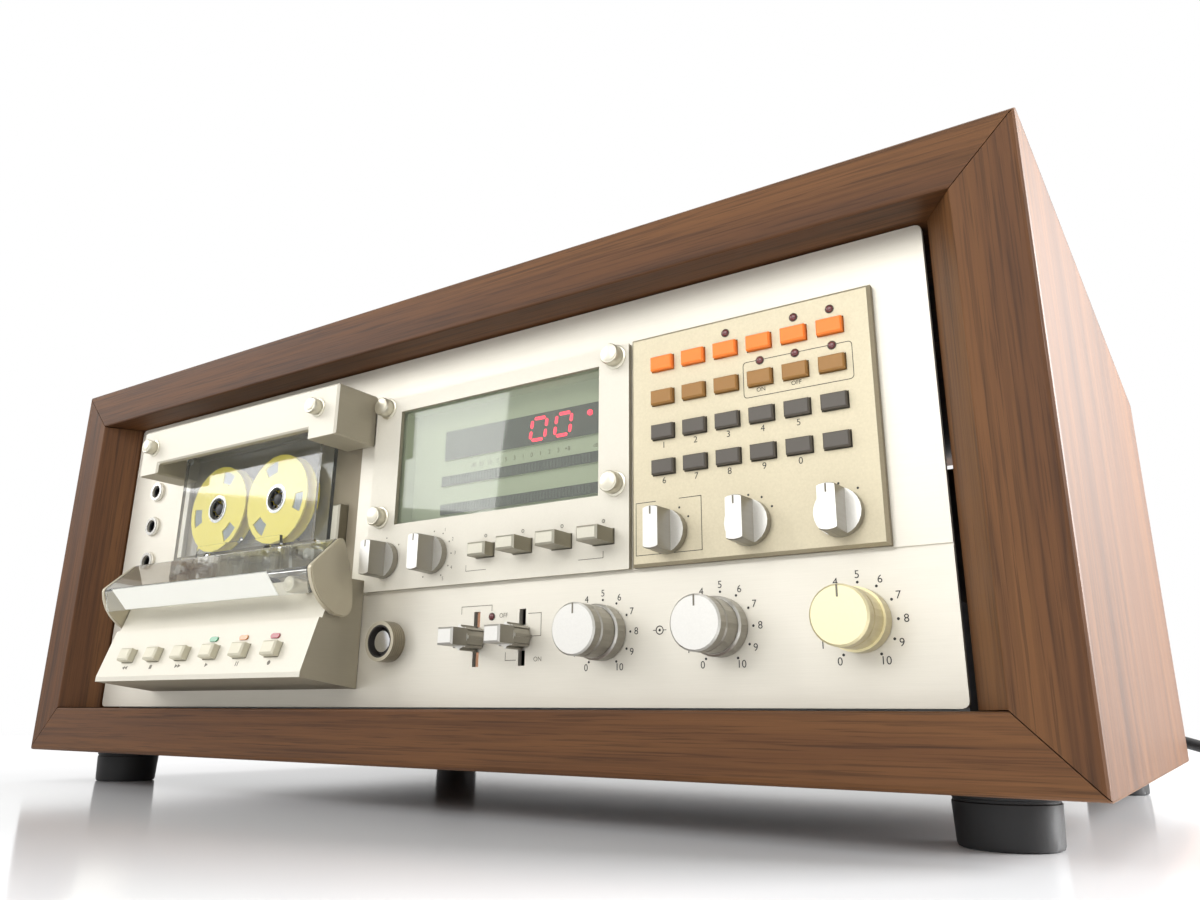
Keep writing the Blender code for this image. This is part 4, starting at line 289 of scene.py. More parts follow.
def turned_metal(name, face, side, roughness=0.3, metallic=0.8, grit=0.12):
    """Metal with a fine grain and a bright face to the front; its sides are darker by painted shade."""
    made = Shader(name, face, roughness, metallic)
    # Painted shade: surfaces turned away from the front get the darker side colour in place of the face
    # colour
    normal = made.node("ShaderNodeNewGeometry").outputs["Normal"]
    facing = made.node("ShaderNodeVectorMath", {0: normal, 1: (0, -1, 0)}, operation="DOT_PRODUCT")
    limits = {"Value": facing.outputs["Value"], "From Min": 0.35, "From Max": 0.95}
    front = made.node("ShaderNodeMapRange", limits).outputs[0]
    grain = made.noise(made.stretched((1, 0.05, 1)), 1500.0, 2.0, 0.6)
    tone = made.mix(made.range(grain, 0.0, grit), made.mix(front, side, face), shade(side, 0.7))
    gloss = made.range(grain, roughness - 0.05, roughness + 0.1)
    made.set(made.surface, {"Base Color": tone, "Roughness": gloss})
    made.bump(grain, 0.000006, 0.3)
    return made.material


def two_rows(name, lower, upper, height):
    """Moulded keys of two colours, parted at one height."""
    made = Shader(name, upper, 0.42)
    z = made.node("ShaderNodeSeparateXYZ", {"Vector": made.place}).outputs["Z"]
    above = made.math("GREATER_THAN", z, height)
    grain = made.noise(made.place, 900.0, 3.0, 0.6)
    tone = made.mix(above, lower, upper)
    tone = made.mix(made.range(grain, 0.0, 0.06), tone, shade(TAN, 0.6))
    made.set(made.surface, {"Base Color": tone, "Roughness": made.range(grain, 0.36, 0.5)})
    made.bump(grain, 0.00002, 0.4)
    return made.material


def dress(names, material):
    """Give each of these solids a new material."""
    for name in names:
        node = NODES[name]
        node.data.materials.clear()
        node.data.materials.append(material)


def make_camera():
    """The camera that took the photograph."""
    data = bpy.data.cameras.new("photo_camera")
    data.lens = CAMERA_LENS
    data.sensor_width = SENSOR
    data.shift_x = CAMERA_SHIFT_X
    data.shift_y = CAMERA_SHIFT_Y
    data.clip_start = CAMERA_CLIP_START
    camera = bpy.data.objects.new("photo_camera", data)
    camera.location = CAMERA_PLACE
    turn = Matrix.Rotation(CAMERA_YAW, 4, "Z") @ Matrix.Rotation(pi / 2 + CAMERA_PITCH, 4, "X")
    camera.rotation_euler = (turn @ Matrix.Rotation(CAMERA_ROLL, 4, "Z")).to_euler()
    bpy.context.scene.collection.objects.link(camera)
    bpy.context.scene.camera = camera


def make_lamp(name, place, aim, width, height, power):
    """A soft oblong lamp at one place, turned to another."""
    data = bpy.data.lights.new(name, "AREA")
    data.shape = "RECTANGLE"
    data.size = width
    data.size_y = height
    data.energy = power
    light = bpy.data.objects.new(name, data)
    light.location = place
    light.rotation_euler = (Vector(aim) - Vector(place)).to_track_quat("-Z", "Y").to_euler()
    bpy.context.scene.collection.objects.link(light)


def make_light():
    """A world that is white where it is seen and dimmer where it lights, and the lamps."""
    scene = bpy.context.scene
    scene.view_settings.view_transform = "Standard"
    world = bpy.data.worlds.new("studio")
    scene.world = world
    world.use_nodes = True
    tree = world.node_tree
    tree.nodes.clear()
    rays = tree.nodes.new("ShaderNodeLightPath")
    seen = rays.outputs["Is Camera Ray"]
    for name in ("Is Glossy Ray", "Is Transmission Ray"):
        either = tree.nodes.new("ShaderNodeMath")
        either.operation = "MAXIMUM"
        tree.links.new(seen, either.inputs[0])
        tree.links.new(rays.outputs[name], either.inputs[1])
        seen = either.outputs[0]
    shown = tree.nodes.new("ShaderNodeBackground")
    shown.inputs["Strength"].default_value = WORLD_SHOWN
    lit = tree.nodes.new("ShaderNodeBackground")
    lit.inputs["Strength"].default_value = WORLD_LIT
    for background in (shown, lit):
        background.inputs["Color"].default_value = WHITE
    blend = tree.nodes.new("ShaderNodeMixShader")
    tree.links.new(seen, blend.inputs[0])
    tree.links.new(lit.outputs[0], blend.inputs[1])
    tree.links.new(shown.outputs[0], blend.inputs[2])
    output = tree.nodes.new("ShaderNodeOutputWorld")
    tree.links.new(blend.outputs[0], output.inputs["Surface"])
    for name, settings in LAMPS.items():
        make_lamp(name, *settings)


def make_floor():
    """A glossy pale table that fades into the white backdrop away from the object."""
    mesh = bpy.data.meshes.new("floor")
    built = bmesh.new()
    bmesh.ops.create_grid(built, x_segments=1, y_segments=1, size=FLOOR_HALF)
    built.to_mesh(mesh)
    built.free()
    floor = bpy.data.objects.new("floor", mesh)
    bpy.context.scene.collection.objects.link(floor)
    made = Shader("glossy_table", WHITE_FLOOR, 0.12)
    cloud = made.noise(made.place, 5.0, 2.0)
    made.set(made.surface, {"Roughness": made.range(cloud, 0.10, 0.15)})
    away = made.node("ShaderNodeVectorMath", {0: made.place}, operation="LENGTH").outputs["Value"]
    near, far = FLOOR_FADE
    faded = made.node("ShaderNodeMapRange", {"Value": away, "From Min": near, "From Max": far}).outputs[0]
    seen = made.node("ShaderNodeLightPath").outputs["Is Camera Ray"]
    backdrop = made.node("ShaderNodeEmission", {"Color": WHITE, "Strength": WORLD_SHOWN})
    made.blend(made.math("MULTIPLY", faded, seen), backdrop)
    mesh.materials.append(made.material)


def smooth_route(points, count):
    """Read a smooth curve through the points at even steps along it."""
    knots = [Vector(point) for point in points]
    ends = [2 * knots[0] - knots[1]] + knots + [2 * knots[-1] - knots[-2]]
    fine = []
    for a, b, c, d in zip(ends, ends[1:], ends[2:], ends[3:]):
        for step in range(ROUTE_STEPS):
            t = step / ROUTE_STEPS
            fine.append(0.5 * (2 * b + (c - a) * t + (2 * a - 5 * b + 4 * c - d) * t ** 2
                               + (3 * b - a - 3 * c + d) * t ** 3))
    fine.append(knots[-1])
    lengths = [0.0]
    for first, second in zip(fine, fine[1:]):
        lengths.append(lengths[-1] + (second - first).length)
    read = []
    for index in range(count):
        want = lengths[-1] * index / (count - 1)
        k = next((i for i in range(1, len(fine)) if lengths[i] >= want), len(fine) - 1)
        span = lengths[k] - lengths[k - 1]
        read.append(fine[k - 1].lerp(fine[k], (want - lengths[k - 1]) / span if span else 0))
    return read


def coil_points():
    """A spiral inwards on the floor, a climb of one layer where it turns back, and out again on top."""
    start = Vector(CORD_ROUTE[-1]) + Vector((CORD_GAP, 0, 0))
    reach = COIL_MEAN_RADIUS + COIL_PITCH * COIL_TURNS_PER_LAYER / 2
    middle = start + Vector((2 * CORD_RADIUS, reach, 0))
    turns = 2 * COIL_TURNS_PER_LAYER
    steps = round(turns * COIL_POINTS)
    points = [start + Vector((2 * CORD_RADIUS, 0, 0))]
    for step in range(1, steps + 1):
        turn = turns * step / steps
        away = abs(turn - COIL_TURNS_PER_LAYER)
        radius = COIL_MEAN_RADIUS + COIL_PITCH * (away - COIL_TURNS_PER_LAYER / 2)
        climb = min(max(turn - COIL_TURNS_PER_LAYER + COIL_CLIMB_TURN, 0) / (2 * COIL_CLIMB_TURN), 1)
        rise = (1 - cos(pi * climb)) / 2
        last = min(max(turn - turns + COIL_CLIMB_TURN, 0) / COIL_CLIMB_TURN, 1)
        lift = (PLUG_AXIS_Z - CORD_FLOOR - COIL_PITCH) * (1 - cos(pi * last)) / 2
        angle = tau * turn - pi / 2
        points.append(middle + Vector((radius * cos(angle), radius * sin(angle), COIL_PITCH * rise + lift)))
    along = points[-1] - points[-2]
    along = Vector((along.x, along.y, 0)).normalized()
    points.append(points[-1] + along * 2 * CORD_RADIUS)
    return points


def make_cord():
    """The mains lead, from the strain relief to the plug, in place of the solid cord."""
    points = smooth_route(CORD_ROUTE, CORD_POINTS) + coil_points()
    curve = bpy.data.curves.new("mains_lead", "CURVE")
    curve.dimensions = "3D"
    curve.bevel_depth = CORD_RADIUS
    curve.bevel_resolution = 4
    curve.use_fill_caps = True
    spline = curve.splines.new("POLY")
    spline.points.add(len(points) - 1)
    for point, spot in zip(spline.points, points):
        point.co = (*spot, 1)
    spline.use_smooth = True
    lead = bpy.data.objects.new("mains_lead", curve)
    bpy.context.scene.collection.objects.link(lead)
    curve.materials.append(satin("cord_jacket", srgb(26, 26, 27), 0.5, scale=1400.0))
    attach(lead, "root")
    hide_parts("mains_cord", "cord_coil")


def finished(name, built, material, body="root", frame_matrix=PANEL, smooth=None):
    """Turn a drawing in millimetres into a piece that rides on a body."""
    bmesh.ops.scale(built, vec=(MM, MM, MM), verts=built.verts)
    mesh = bpy.data.meshes.new(name)
    built.to_mesh(mesh)
    built.free()
    mesh.materials.append(material)
    if smooth:
        mesh.shade_smooth()
        mesh.set_sharp_from_angle(angle=radians(smooth))
    piece = bpy.data.objects.new(name, mesh)
    piece.matrix_world = frame_matrix
    bpy.context.scene.collection.objects.link(piece)
    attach(piece, body)
    return piece


def make_ring(built, x, y, radius, height, sides, knurl=0.0):
    """Points around a circle. A knurl sets every other one back."""
    points = []
    for k in range(sides):
        reach = radius - knurl if k % 2 else radius
        angle = tau * k / sides
        points.append(built.verts.new((x + reach * cos(angle), y + reach * sin(angle), height)))
    return points


def join_rings(built, rings):
    """Faces between each ring and the next."""
    for first, second in zip(rings, rings[1:]):
        for k in range(len(first)):
            after = (k + 1) % len(first)
            built.faces.new((first[k], first[after], second[after], second[k]))


def turn(built, profile, x, y, sides=32, knurl=0.0):
    """Turn (radius, height) pairs about the line at x, y, closed at both ends."""
    rings = [make_ring(built, x, y, radius, height, sides, knurl) for radius, height in profile]
    join_rings(built, rings)
    built.faces.new(rings[0][::-1])
    built.faces.new(rings[-1])


def tube(built, x, y, outer, inner, low, high, sides=32):
    """A round tube between two heights."""
    profile = ((outer, low), (outer, high), (inner, high), (inner, low))
    rings = [make_ring(built, x, y, radius, height, sides) for radius, height in profile]
    join_rings(built, rings + rings[:1])


def prism(built, outline, low, high, edge=0.0, along="z"):
    """A flat outline drawn out between two heights, with softened edges. Along x it is read as (y, z)."""
    def spot(point, height):
        return (*point, height) if along == "z" else (height, *point)
    lower = [built.verts.new(spot(point, low)) for point in outline]
    upper = [built.verts.new(spot(point, high)) for point in outline]
    count = len(outline)
    faces = [built.faces.new(lower[::-1]), built.faces.new(upper)]
    for k in range(count):
        after = (k + 1) % count
        faces.append(built.faces.new((lower[k], lower[after], upper[after], upper[k])))
    if along != "z":
        bmesh.ops.recalc_face_normals(built, faces=faces)
    if edge:
        rims = {side for face in faces for side in face.edges}
        bmesh.ops.bevel(built, geom=list(rims), offset=edge, segments=2, affect="EDGES", clamp_overlap=True)


def block(x0, x1, y0, y1):
    """The corners of an upright oblong."""
    return [(x0, y0), (x1, y0), (x1, y1), (x0, y1)]


def arc(x, y, radius, start, end, steps=8):
    """Points along part of a circle, its angles in degrees."""
    angles = [radians(start + (end - start) * k / steps) for k in range(steps + 1)]
    return [(x + radius * cos(angle), y + radius * sin(angle)) for angle in angles]


# How many sides a printed dot and a printed circle have
DOT_SIDES = 14
CIRCLE_SIDES = 24


class Drawing:
    """Flat printed marks on one surface of the panel's frame, in millimetres, gathered in one mesh."""

    def __init__(self, height):
        self.height = height
        self.built = bmesh.new()

    def fill(self, points):
        self.built.faces.new([self.built.verts.new((x, y, self.height)) for x, y in points])

    def line(self, points, width, closed=False):
        ends = points + points[:1] if closed else points
        for start, end in zip(ends, ends[1:]):
            along = (Vector(end) - Vector(start)).normalized() * width / 2
            side = Vector((-along.y, along.x))
            a, b = Vector(start) - along, Vector(end) + along
            self.fill([a - side, b - side, b + side, a + side])

    def dot(self, x, y, radius):
        self.fill(arc(x, y, radius, 0, 360 - 360 / DOT_SIDES, DOT_SIDES - 1))

    def circle(self, x, y, radius, width):
        self.line(arc(x, y, radius, 0, 360 - 360 / CIRCLE_SIDES, CIRCLE_SIDES - 1), width, closed=True)

    def arrow(self, x, y, way):
        self.fill([(x - way, y - 0.9 * way), (x + way, y), (x - way, y + 0.9 * way)])

    def text(self, words, x, y, size):
        curve = bpy.data.curves.new("lettering", "FONT")
        curve.body = words
        curve.size = size
        curve.align_x = "CENTER"
        curve.align_y = "CENTER"
        written = bpy.data.objects.new("lettering", curve)
        mesh = bpy.data.meshes.new_from_object(written)
        mesh.transform(Matrix.Translation((x, y, self.height)))
        self.built.from_mesh(mesh)
        bpy.data.objects.remove(written)
        bpy.data.curves.remove(curve)
        bpy.data.meshes.remove(mesh)

    def finish(self, name, material, body="root", frame_matrix=PANEL):
        return finished(name, self.built, material, body, frame_matrix)


# Places on the front in millimetres from the panel's lower left corner, and heights above its face
PRINT_GAP = 0.05
THIN_LINE = 0.22
LINE = 0.25
LEVEL_KNOBS = {"mic": 299.5, "line": 343.8, "output": 388.1}
LEVEL_Z = 24.3
LEVEL_FACE = 18.0
BAR_KNOBS = {"speed": (195.05, 57.0, 2.0), "bias": (221.25, 57.0, 2.0), "memory": (327.0, 55.5, 3.3),
             "function": (356.3, 55.5, 3.3), "mode": (385.6, 55.5, 3.3)}
BAR_KNOB_HEIGHT = 11.5
NUMBER_STEP = 30
BALANCE_MARK_X = 321.7
MUTE = (199.5, 24.6)
HOOD_SCREW = (168.5, 46.6)
JACK_X = 22.5
JACK_TOP = 107.0
JACK_PITCH = 18.2
JACK_END = -12.0
KNURL = 0.12
KEY_LEFT = 326.0
KEY_FOOT = 77.8
KEY_PITCH_X = 12.07
KEY_PITCH_Z = 12.4
PLATE_FACE = 2.0
PROGRAM_FACE = 3.3
COUNTER = (216.25, 294.25, 97.8, 110.2)
BARS = ((215.25, 293.25, 75.0, 79.3), (215.25, 293.25, 86.8, 91.1))
DISPLAY_FACE = -7.5
FRONT_FACE = DISPLAY_FACE + 0.2


def dial_angle(number):
    """Where a number of a scale from 0 to 10 stands, with 5 at the top."""
    return radians(90 - NUMBER_STEP * (number - 5))


def print_lower_strip(ink, faint):
    """The scales of the level knobs, the mark between them, and the lines beside the levers."""
    sheet = Drawing(PRINT_GAP)
    for x in LEVEL_KNOBS.values():
        for number in range(11):
            angle = dial_angle(number)
            sheet.dot(x + 11.0 * cos(angle), LEVEL_Z + 11.0 * sin(angle), 0.42)
            sheet.text(str(number), x + 13.3 * cos(angle), LEVEL_Z + 13.2 * sin(angle), 3.3)
    sheet.circle(BALANCE_MARK_X, LEVEL_Z, 1.3, 0.3)
    sheet.dot(BALANCE_MARK_X, LEVEL_Z, 0.45)
    for near, far in ((-1.4, -2.4), (1.4, 2.4)):
        sheet.line([(BALANCE_MARK_X + near, LEVEL_Z), (BALANCE_MARK_X + far, LEVEL_Z)], THIN_LINE)
    sheet.finish("printed_level_scales", ink)
    lines = Drawing(PRINT_GAP)
    lines.line([(235.9, 33.7), (235.9, 36.3), (250.6, 36.3), (250.6, 34.2)], LINE)
    lines.line([(267.7, 32.4), (273.4, 32.4), (273.4, 24.4), (268.2, 24.4)], LINE)
    lines.line([(257.7, 19.0), (257.7, 16.2), (262.4, 16.2)], LINE)
    lines.text("OFF", 256.2, 32.2, 2.3)
    lines.text("ON", 272.2, 16.3, 2.3)
    lines.finish("printed_lever_lines", faint)


def print_display_plate(faint):
    """The scales of the bias and speed knobs, and the bracket and rings around the tape selectors."""
    sheet = Drawing(PLATE_FACE + PRINT_GAP)
    sheet.line([(238.6, 51.6), (238.6, 49.4), (248.4, 49.4)], THIN_LINE)
    sheet.line([(290.5, 49.4), (300.8, 49.4), (300.8, 51.6)], THIN_LINE)
    x, y, _ = BAR_KNOBS["bias"]
    for number in range(11):
        angle = dial_angle(number)
        sheet.dot(x + 9.4 * cos(angle), y + 9.4 * sin(angle), 0.32)
    for number in range(6, 11):
        angle = dial_angle(number)
        sheet.text(str(number - 5), x + 11.4 * cos(angle), y + 11.0 * sin(angle), 1.9)
    x, y, _ = BAR_KNOBS["speed"]
    for turned in (-50, 0, 50):
        angle = radians(90 + turned)
        sheet.dot(x + 9.2 * cos(angle), y + 9.2 * sin(angle), 0.32)
    for k in range(4):
        sheet.circle(247.75 + 17.7 * k, 62.2, 0.55, 0.2)
    sheet.finish("printed_display_plate", faint)


def print_program_panel(ink):
    """The key digits, the frame around the timer keys, and the marks around the selector knobs."""
    sheet = Drawing(PROGRAM_FACE + PRINT_GAP)
    for row, digits in ((1, "12345"), (0, "67890")):
        for column, digit in enumerate(digits):
            sheet.text(digit, KEY_LEFT + column * KEY_PITCH_X, KEY_FOOT + row * KEY_PITCH_Z - 4.7, 3.1)
    centres = [(357.4, 97.8), (391.6, 97.8), (391.6, 107.7), (357.4, 107.7)]
    rounded = []
    for (x, y), start in zip(centres, (180, 270, 0, 90)):
        rounded += arc(x, y, 1.2, start, start + 90, 4)
    sheet.line(rounded, THIN_LINE, closed=True)
    sheet.text("ON", KEY_LEFT + 3 * KEY_PITCH_X, 98.7, 2.0)
    sheet.text("OFF", KEY_LEFT + 4 * KEY_PITCH_X, 98.7, 2.0)
    marks = {"memory": (-60, -30, 30, 60), "function": (-60, -30, 0, 30, 60), "mode": (-40, 0, 40)}
    for name, turns in marks.items():
        x, y, _ = BAR_KNOBS[name]
        for turned in turns:
            angle = radians(90 - turned)
            sheet.dot(x + 9.0 * cos(angle), y + 9.0 * sin(angle), 0.38)
    bracket = [(322.5, 66.4), (314.9, 66.4), (314.9, 48.6), (339.6, 48.6), (339.6, 66.4), (331.5, 66.4)]
    sheet.line(bracket, THIN_LINE)
    sheet.finish("printed_program_panel", ink)


# Segments of a zero, as shares of the digit's width and height
SEGMENTS = {"top": ((0.12, 1.0), (0.88, 1.0)), "upper_left": ((0.0, 0.93), (0.0, 0.56)),
            "upper_right": ((1.0, 0.93), (1.0, 0.56)), "lower_left": ((0.0, 0.44), (0.0, 0.07)),
            "lower_right": ((1.0, 0.44), (1.0, 0.07)), "foot": ((0.12, 0.0), (0.88, 0.0))}

# The display's digits, bar segments and scale
DIGIT_LEFT = (260.6, 272.3)
DIGIT_FOOT = 99.6
DIGIT_WIDTH = 7.0
DIGIT_HEIGHT = 8.6
DIGIT_SLANT = 1.2
SEGMENT_HALF = 0.6
SEGMENT_TIP = 0.5
COUNTER_DOT = (288.8, 106.4)
BAR_SEGMENTS = 48
BAR_WIDE_SEGMENTS = 22
BAR_END = 3.5
SCALE_NUMBERS = ("-30", "20", "10", "7", "5", "3", "1", "0", "1", "2", "3", "+8")
SCALE_LEFT = 231.0
SCALE_PITCH = 4.25


def add_segment(built, left, start, end):
    """One slanted segment with pointed ends."""
    a, b = (Vector((left + DIGIT_WIDTH * x + DIGIT_SLANT * y, DIGIT_FOOT + DIGIT_HEIGHT * y))
            for x, y in (start, end))
    along = (b - a).normalized()
    side = Vector((-along.y, along.x)) * SEGMENT_HALF
    tip = along * SEGMENT_TIP
    outline = [a, a + tip - side, b - tip - side, b, b - tip + side, a + tip + side]
    prism(built, outline, FRONT_FACE, FRONT_FACE + 0.15)


def make_display_details(faint):
    """The dark counter with its digits, the two level bars with their segments, and the scale."""
    dark = satin("display_dark", srgb(78, 81, 82), 0.3, scale=2200.0, depth=0.000005)
    fronts = bmesh.new()
    for x0, x1, y0, y1 in (COUNTER, *BARS):
        prism(fronts, block(x0, x1, y0, y1), DISPLAY_FACE, FRONT_FACE, 0.05)
    finished("display_fronts", fronts, dark)
    lit = bmesh.new()
    for left in DIGIT_LEFT:
        for start, end in SEGMENTS.values():
            add_segment(lit, left, start, end)
    dot = [(1.1, FRONT_FACE), (1.1, FRONT_FACE + 0.4), (0.7, FRONT_FACE + 0.7)]
    turn(lit, dot, *COUNTER_DOT, 16)
    finished("counter_digits", lit, glowing("red_light", srgb(255, 40, 70), 3.0))
    bars = bmesh.new()
    for x0, x1, y0, y1 in BARS:
        for k in range(BAR_SEGMENTS):
            left = x0 + BAR_END + k * (x1 - x0 - 2 * BAR_END) / BAR_SEGMENTS
            width = 1.0 if k < BAR_WIDE_SEGMENTS else 0.75
            prism(bars, block(left, left + width, y0 + 0.5, y1 - 0.5), FRONT_FACE, FRONT_FACE + 0.1)
    finished("level_segments", bars, satin("segment_grey", srgb(98, 102, 104), 0.35))
    scale = Drawing(DISPLAY_FACE - 1.0 + PRINT_GAP)
    for k, words in enumerate(SCALE_NUMBERS):
        scale.text(words, SCALE_LEFT + SCALE_PITCH * k, 94.2, 2.5)
        scale.dot(SCALE_LEFT + SCALE_PITCH * k, 73.6, 0.3)
    scale.text("dB", 290.6, 93.6, 2.0)
    scale.finish("printed_display_scale", faint)


# Thumb screws as (x, y, the face they stand on, radius)
BRIDGE_FACE = 23.0
THUMB_SCREWS = [(190.3, 122.6, PLATE_FACE, 3.9), (305.4, 122.2, PLATE_FACE, 3.9),
                (190.3, 75.2, PLATE_FACE, 3.9), (305.4, 75.0, PLATE_FACE, 3.9),
                (51.8, 120.8, BRIDGE_FACE, 3.4), (170.3, 120.8, BRIDGE_FACE, 3.4)]


def make_thumb_screws(metal):
    """Knurled thumb screws that hold the display plate and the bridge."""
    for k, (x, y, face, radius) in enumerate(THUMB_SCREWS):
        washer = [(radius + 0.7, face), (radius + 0.7, face + 0.35), (radius + 0.4, face + 0.55)]
        grip = [(radius - 0.4, face + 0.4), (radius, face + 0.8), (radius, face + 4.2),
                (radius - 0.35, face + 4.7)]
        crown = [(radius - 0.9, face + 4.6), (radius - 0.9, face + 4.85), (radius - 1.2, face + 4.95)]
        built = bmesh.new()
        turn(built, washer, x, y, 40)
        turn(built, grip, x, y, 64, KNURL)
        turn(built, crown, x, y, 40)
        finished(f"thumb_screw_{k + 1}", built, metal, smooth=50)


# Signal lights as (x, y, face), and the button plate's lights as name: (x, colour)
SIGNAL_LIGHTS = [(350.2, 121.0, PROGRAM_FACE), (374.4, 121.0, PROGRAM_FACE), (386.5, 121.0, PROGRAM_FACE),
                 (362.2, 108.7, PROGRAM_FACE), (374.3, 108.7, PROGRAM_FACE), (386.5, 108.7, PROGRAM_FACE),
                 (250.7, 32.1, 0.0)]
BUTTON_LIGHTS = {"green": (78.4, srgb(70, 150, 104)), "orange": (98.2, srgb(206, 142, 84)),
                 "red": (118.0, srgb(158, 30, 44))}
BUTTON_LIGHT_Y = 15.0


def make_lights():
    """Small signal lights: the program panel's, the lever switch's and the three on the button plate."""
    lens_gloss = {"scale": 300.0, "depth": 0.000004}
    dark_red = satin("dark_red_lens", srgb(96, 26, 30), 0.16, **lens_gloss, **{"Coat Weight": 0.6})
    rings = bmesh.new()
    lenses = bmesh.new()
    for x, y, face in SIGNAL_LIGHTS:
        turn(rings, [(1.45, face), (1.45, face + 0.15), (1.25, face + 0.25)], x, y, 24)
        turn(lenses, [(1.2, face), (1.2, face + 0.3), (0.9, face + 0.62), (0.45, face + 0.75)], x, y, 20)
    finished("signal_light_rims", rings, satin("dark_rim", srgb(60, 52, 46), 0.4))
    finished("signal_light_lenses", lenses, dark_red, smooth=60)
    for name, (x, colour) in BUTTON_LIGHTS.items():
        built = bmesh.new()
        right_end = arc(x + 1.7, BUTTON_LIGHT_Y, 1.15, -90, 90, 6)
        left_end = arc(x - 1.7, BUTTON_LIGHT_Y, 1.15, 90, 270, 6)
        prism(built, right_end + left_end, 0.0, 0.55, 0.2)
        lens = satin(f"{name}_lens", colour, 0.2, **lens_gloss, **{"Coat Weight": 0.5})
        finished(f"{name}_light", built, lens, frame_matrix=BUTTON_PLATE, smooth=50)


# Signs in the button plate's frame
BUTTON_LEFT = 20.25
BUTTON_PITCH = 19.9
BUTTON_SIGN_Y = 3.9


def mark_buttons(faint):
    """Plain transport signs under the six buttons."""
    sheet = Drawing(PRINT_GAP)
    rewind, stop, forward, play, pause, record = (BUTTON_LEFT + BUTTON_PITCH * k for k in range(6))
    y = BUTTON_SIGN_Y
    for apart in (-1.0, 1.0):
        sheet.arrow(rewind + apart, y, -1)
        sheet.arrow(forward + apart, y, 1)
    sheet.fill(block(stop - 0.9, stop + 0.9, y - 0.9, y + 0.9))
    sheet.arrow(play, y, 1)
    for apart in (-0.6, 0.6):
        sheet.line([(pause + apart, y - 0.7), (pause + apart, y + 0.7)], 0.5)
    sheet.dot(record, y, 0.95)
    sheet.finish("printed_button_signs", faint, frame_matrix=BUTTON_PLATE)


def make_pointers(ink):
    """The line on each knob's face. Each rides on its own knob."""
    for name, x in LEVEL_KNOBS.items():
        body = "output_knob" if name == "output" else f"{name}_front_knob"
        sheet = Drawing(LEVEL_FACE + PRINT_GAP)
        sheet.line([(x, LEVEL_Z + 5.2), (x, LEVEL_Z + 8.0)], 0.6)
        sheet.finish(f"{name}_knob_pointer", ink, body)
    for name, (x, y, face) in BAR_KNOBS.items():
        sheet = Drawing(face + BAR_KNOB_HEIGHT + PRINT_GAP)
        sheet.line([(x, y + 4.4), (x, y + 6.4)], 0.6)
        sheet.finish(f"{name}_knob_pointer", ink, f"{name}_knob")


def make_jack_liners():
    """The black tube inside each jack socket, and the bright rim of its nut."""
    black = satin("jack_black", srgb(16, 16, 17), 0.45)
    chrome = satin("nut_chrome", srgb(206, 204, 198), 0.2, 1.0, scale=200.0, depth=0.000005)
    for k in range(3):
        y = JACK_TOP - JACK_PITCH * k
        built = bmesh.new()
        tube(built, JACK_X, y, 3.22, 2.3, JACK_END, 0.6)
        turn(built, [(2.6, JACK_END), (2.6, JACK_END + 1.0)], JACK_X, y, 24)
        finished(f"jack_liner_{k + 1}", built, black, smooth=40)
        built = bmesh.new()
        tube(built, JACK_X, y, 4.6, 3.3, 1.4, 1.75)
        finished(f"jack_nut_{k + 1}", built, chrome, smooth=40)


# Head cover in profile, as (up, forward) in millimetres
COVER_LIP = (41.8, 28.4)
COVER_EDGE = (51.8, 31.0)
COVER_TOP = (65.0, 17.2)
COVER_LIP_INSIDE = (42.3, 26.5)
COVER_BEND_INSIDE = (51.2, 28.8)
COVER_TOP_INSIDE = (63.6, 15.8)
COVER_EYE = (38.8, 13.0)
COVER_EYE_RADIUS = 4.8
COVER_SIDE = [(34.5, 17.5), (36.9, 21.7), (40.0, 25.4), (43.4, 28.1), (47.2, 29.9),
              (50.6, 30.7), (51.8, 30.8), (52.9, 30.0), (64.3, 17.9), (65.0, 16.6),
              (64.6, 15.4), (62.0, 14.0), (56.0, 11.8), (47.0, 9.0)]
COVER_CHEEKS = {"left": (38.75, 41.45), "right": (182.55, 185.25)}
HOOD_SIDES = (41.6, 182.4)
# The strip's corners as (x, share of the way from the hood's lip to its edge)
STRIP_CORNERS = [(47.5, 0.97), (158.0, 0.97), (164.0, 0.05), (57.0, 0.05)]
STRIP_DEPTHS = (0.35, 1.1)


def make_hood():
    """The bent clear sheet of the head cover. It stands in for the solid cover."""
    hood = bmesh.new()
    outline = [COVER_LIP, COVER_EDGE, COVER_TOP, COVER_TOP_INSIDE, COVER_BEND_INSIDE, COVER_LIP_INSIDE]
    prism(hood, outline, *HOOD_SIDES, 0.25, along="x")
    plastic = clear("clear_hood", srgb(246, 246, 242), 0.03, 0.96)
    sheet = finished("head_cover_hood", hood, plastic, "head_cover", smooth=40)
    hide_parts("head_cover")


def make_cheeks(beige):
    """The two sides of the head cover, rounded around the hinge."""
    up, forward = COVER_EYE
    eye = []
    for k in range(7):
        angle = radians(90 * k / 6)
        eye.append((up - COVER_EYE_RADIUS * sin(angle), forward - COVER_EYE_RADIUS * cos(angle)))
    for name, (low, high) in COVER_CHEEKS.items():
        cheek = bmesh.new()
        prism(cheek, eye + COVER_SIDE, low, high, 0.45, along="x")
        finished(f"head_cover_{name}_cheek", cheek, beige, "head_cover", smooth=50)


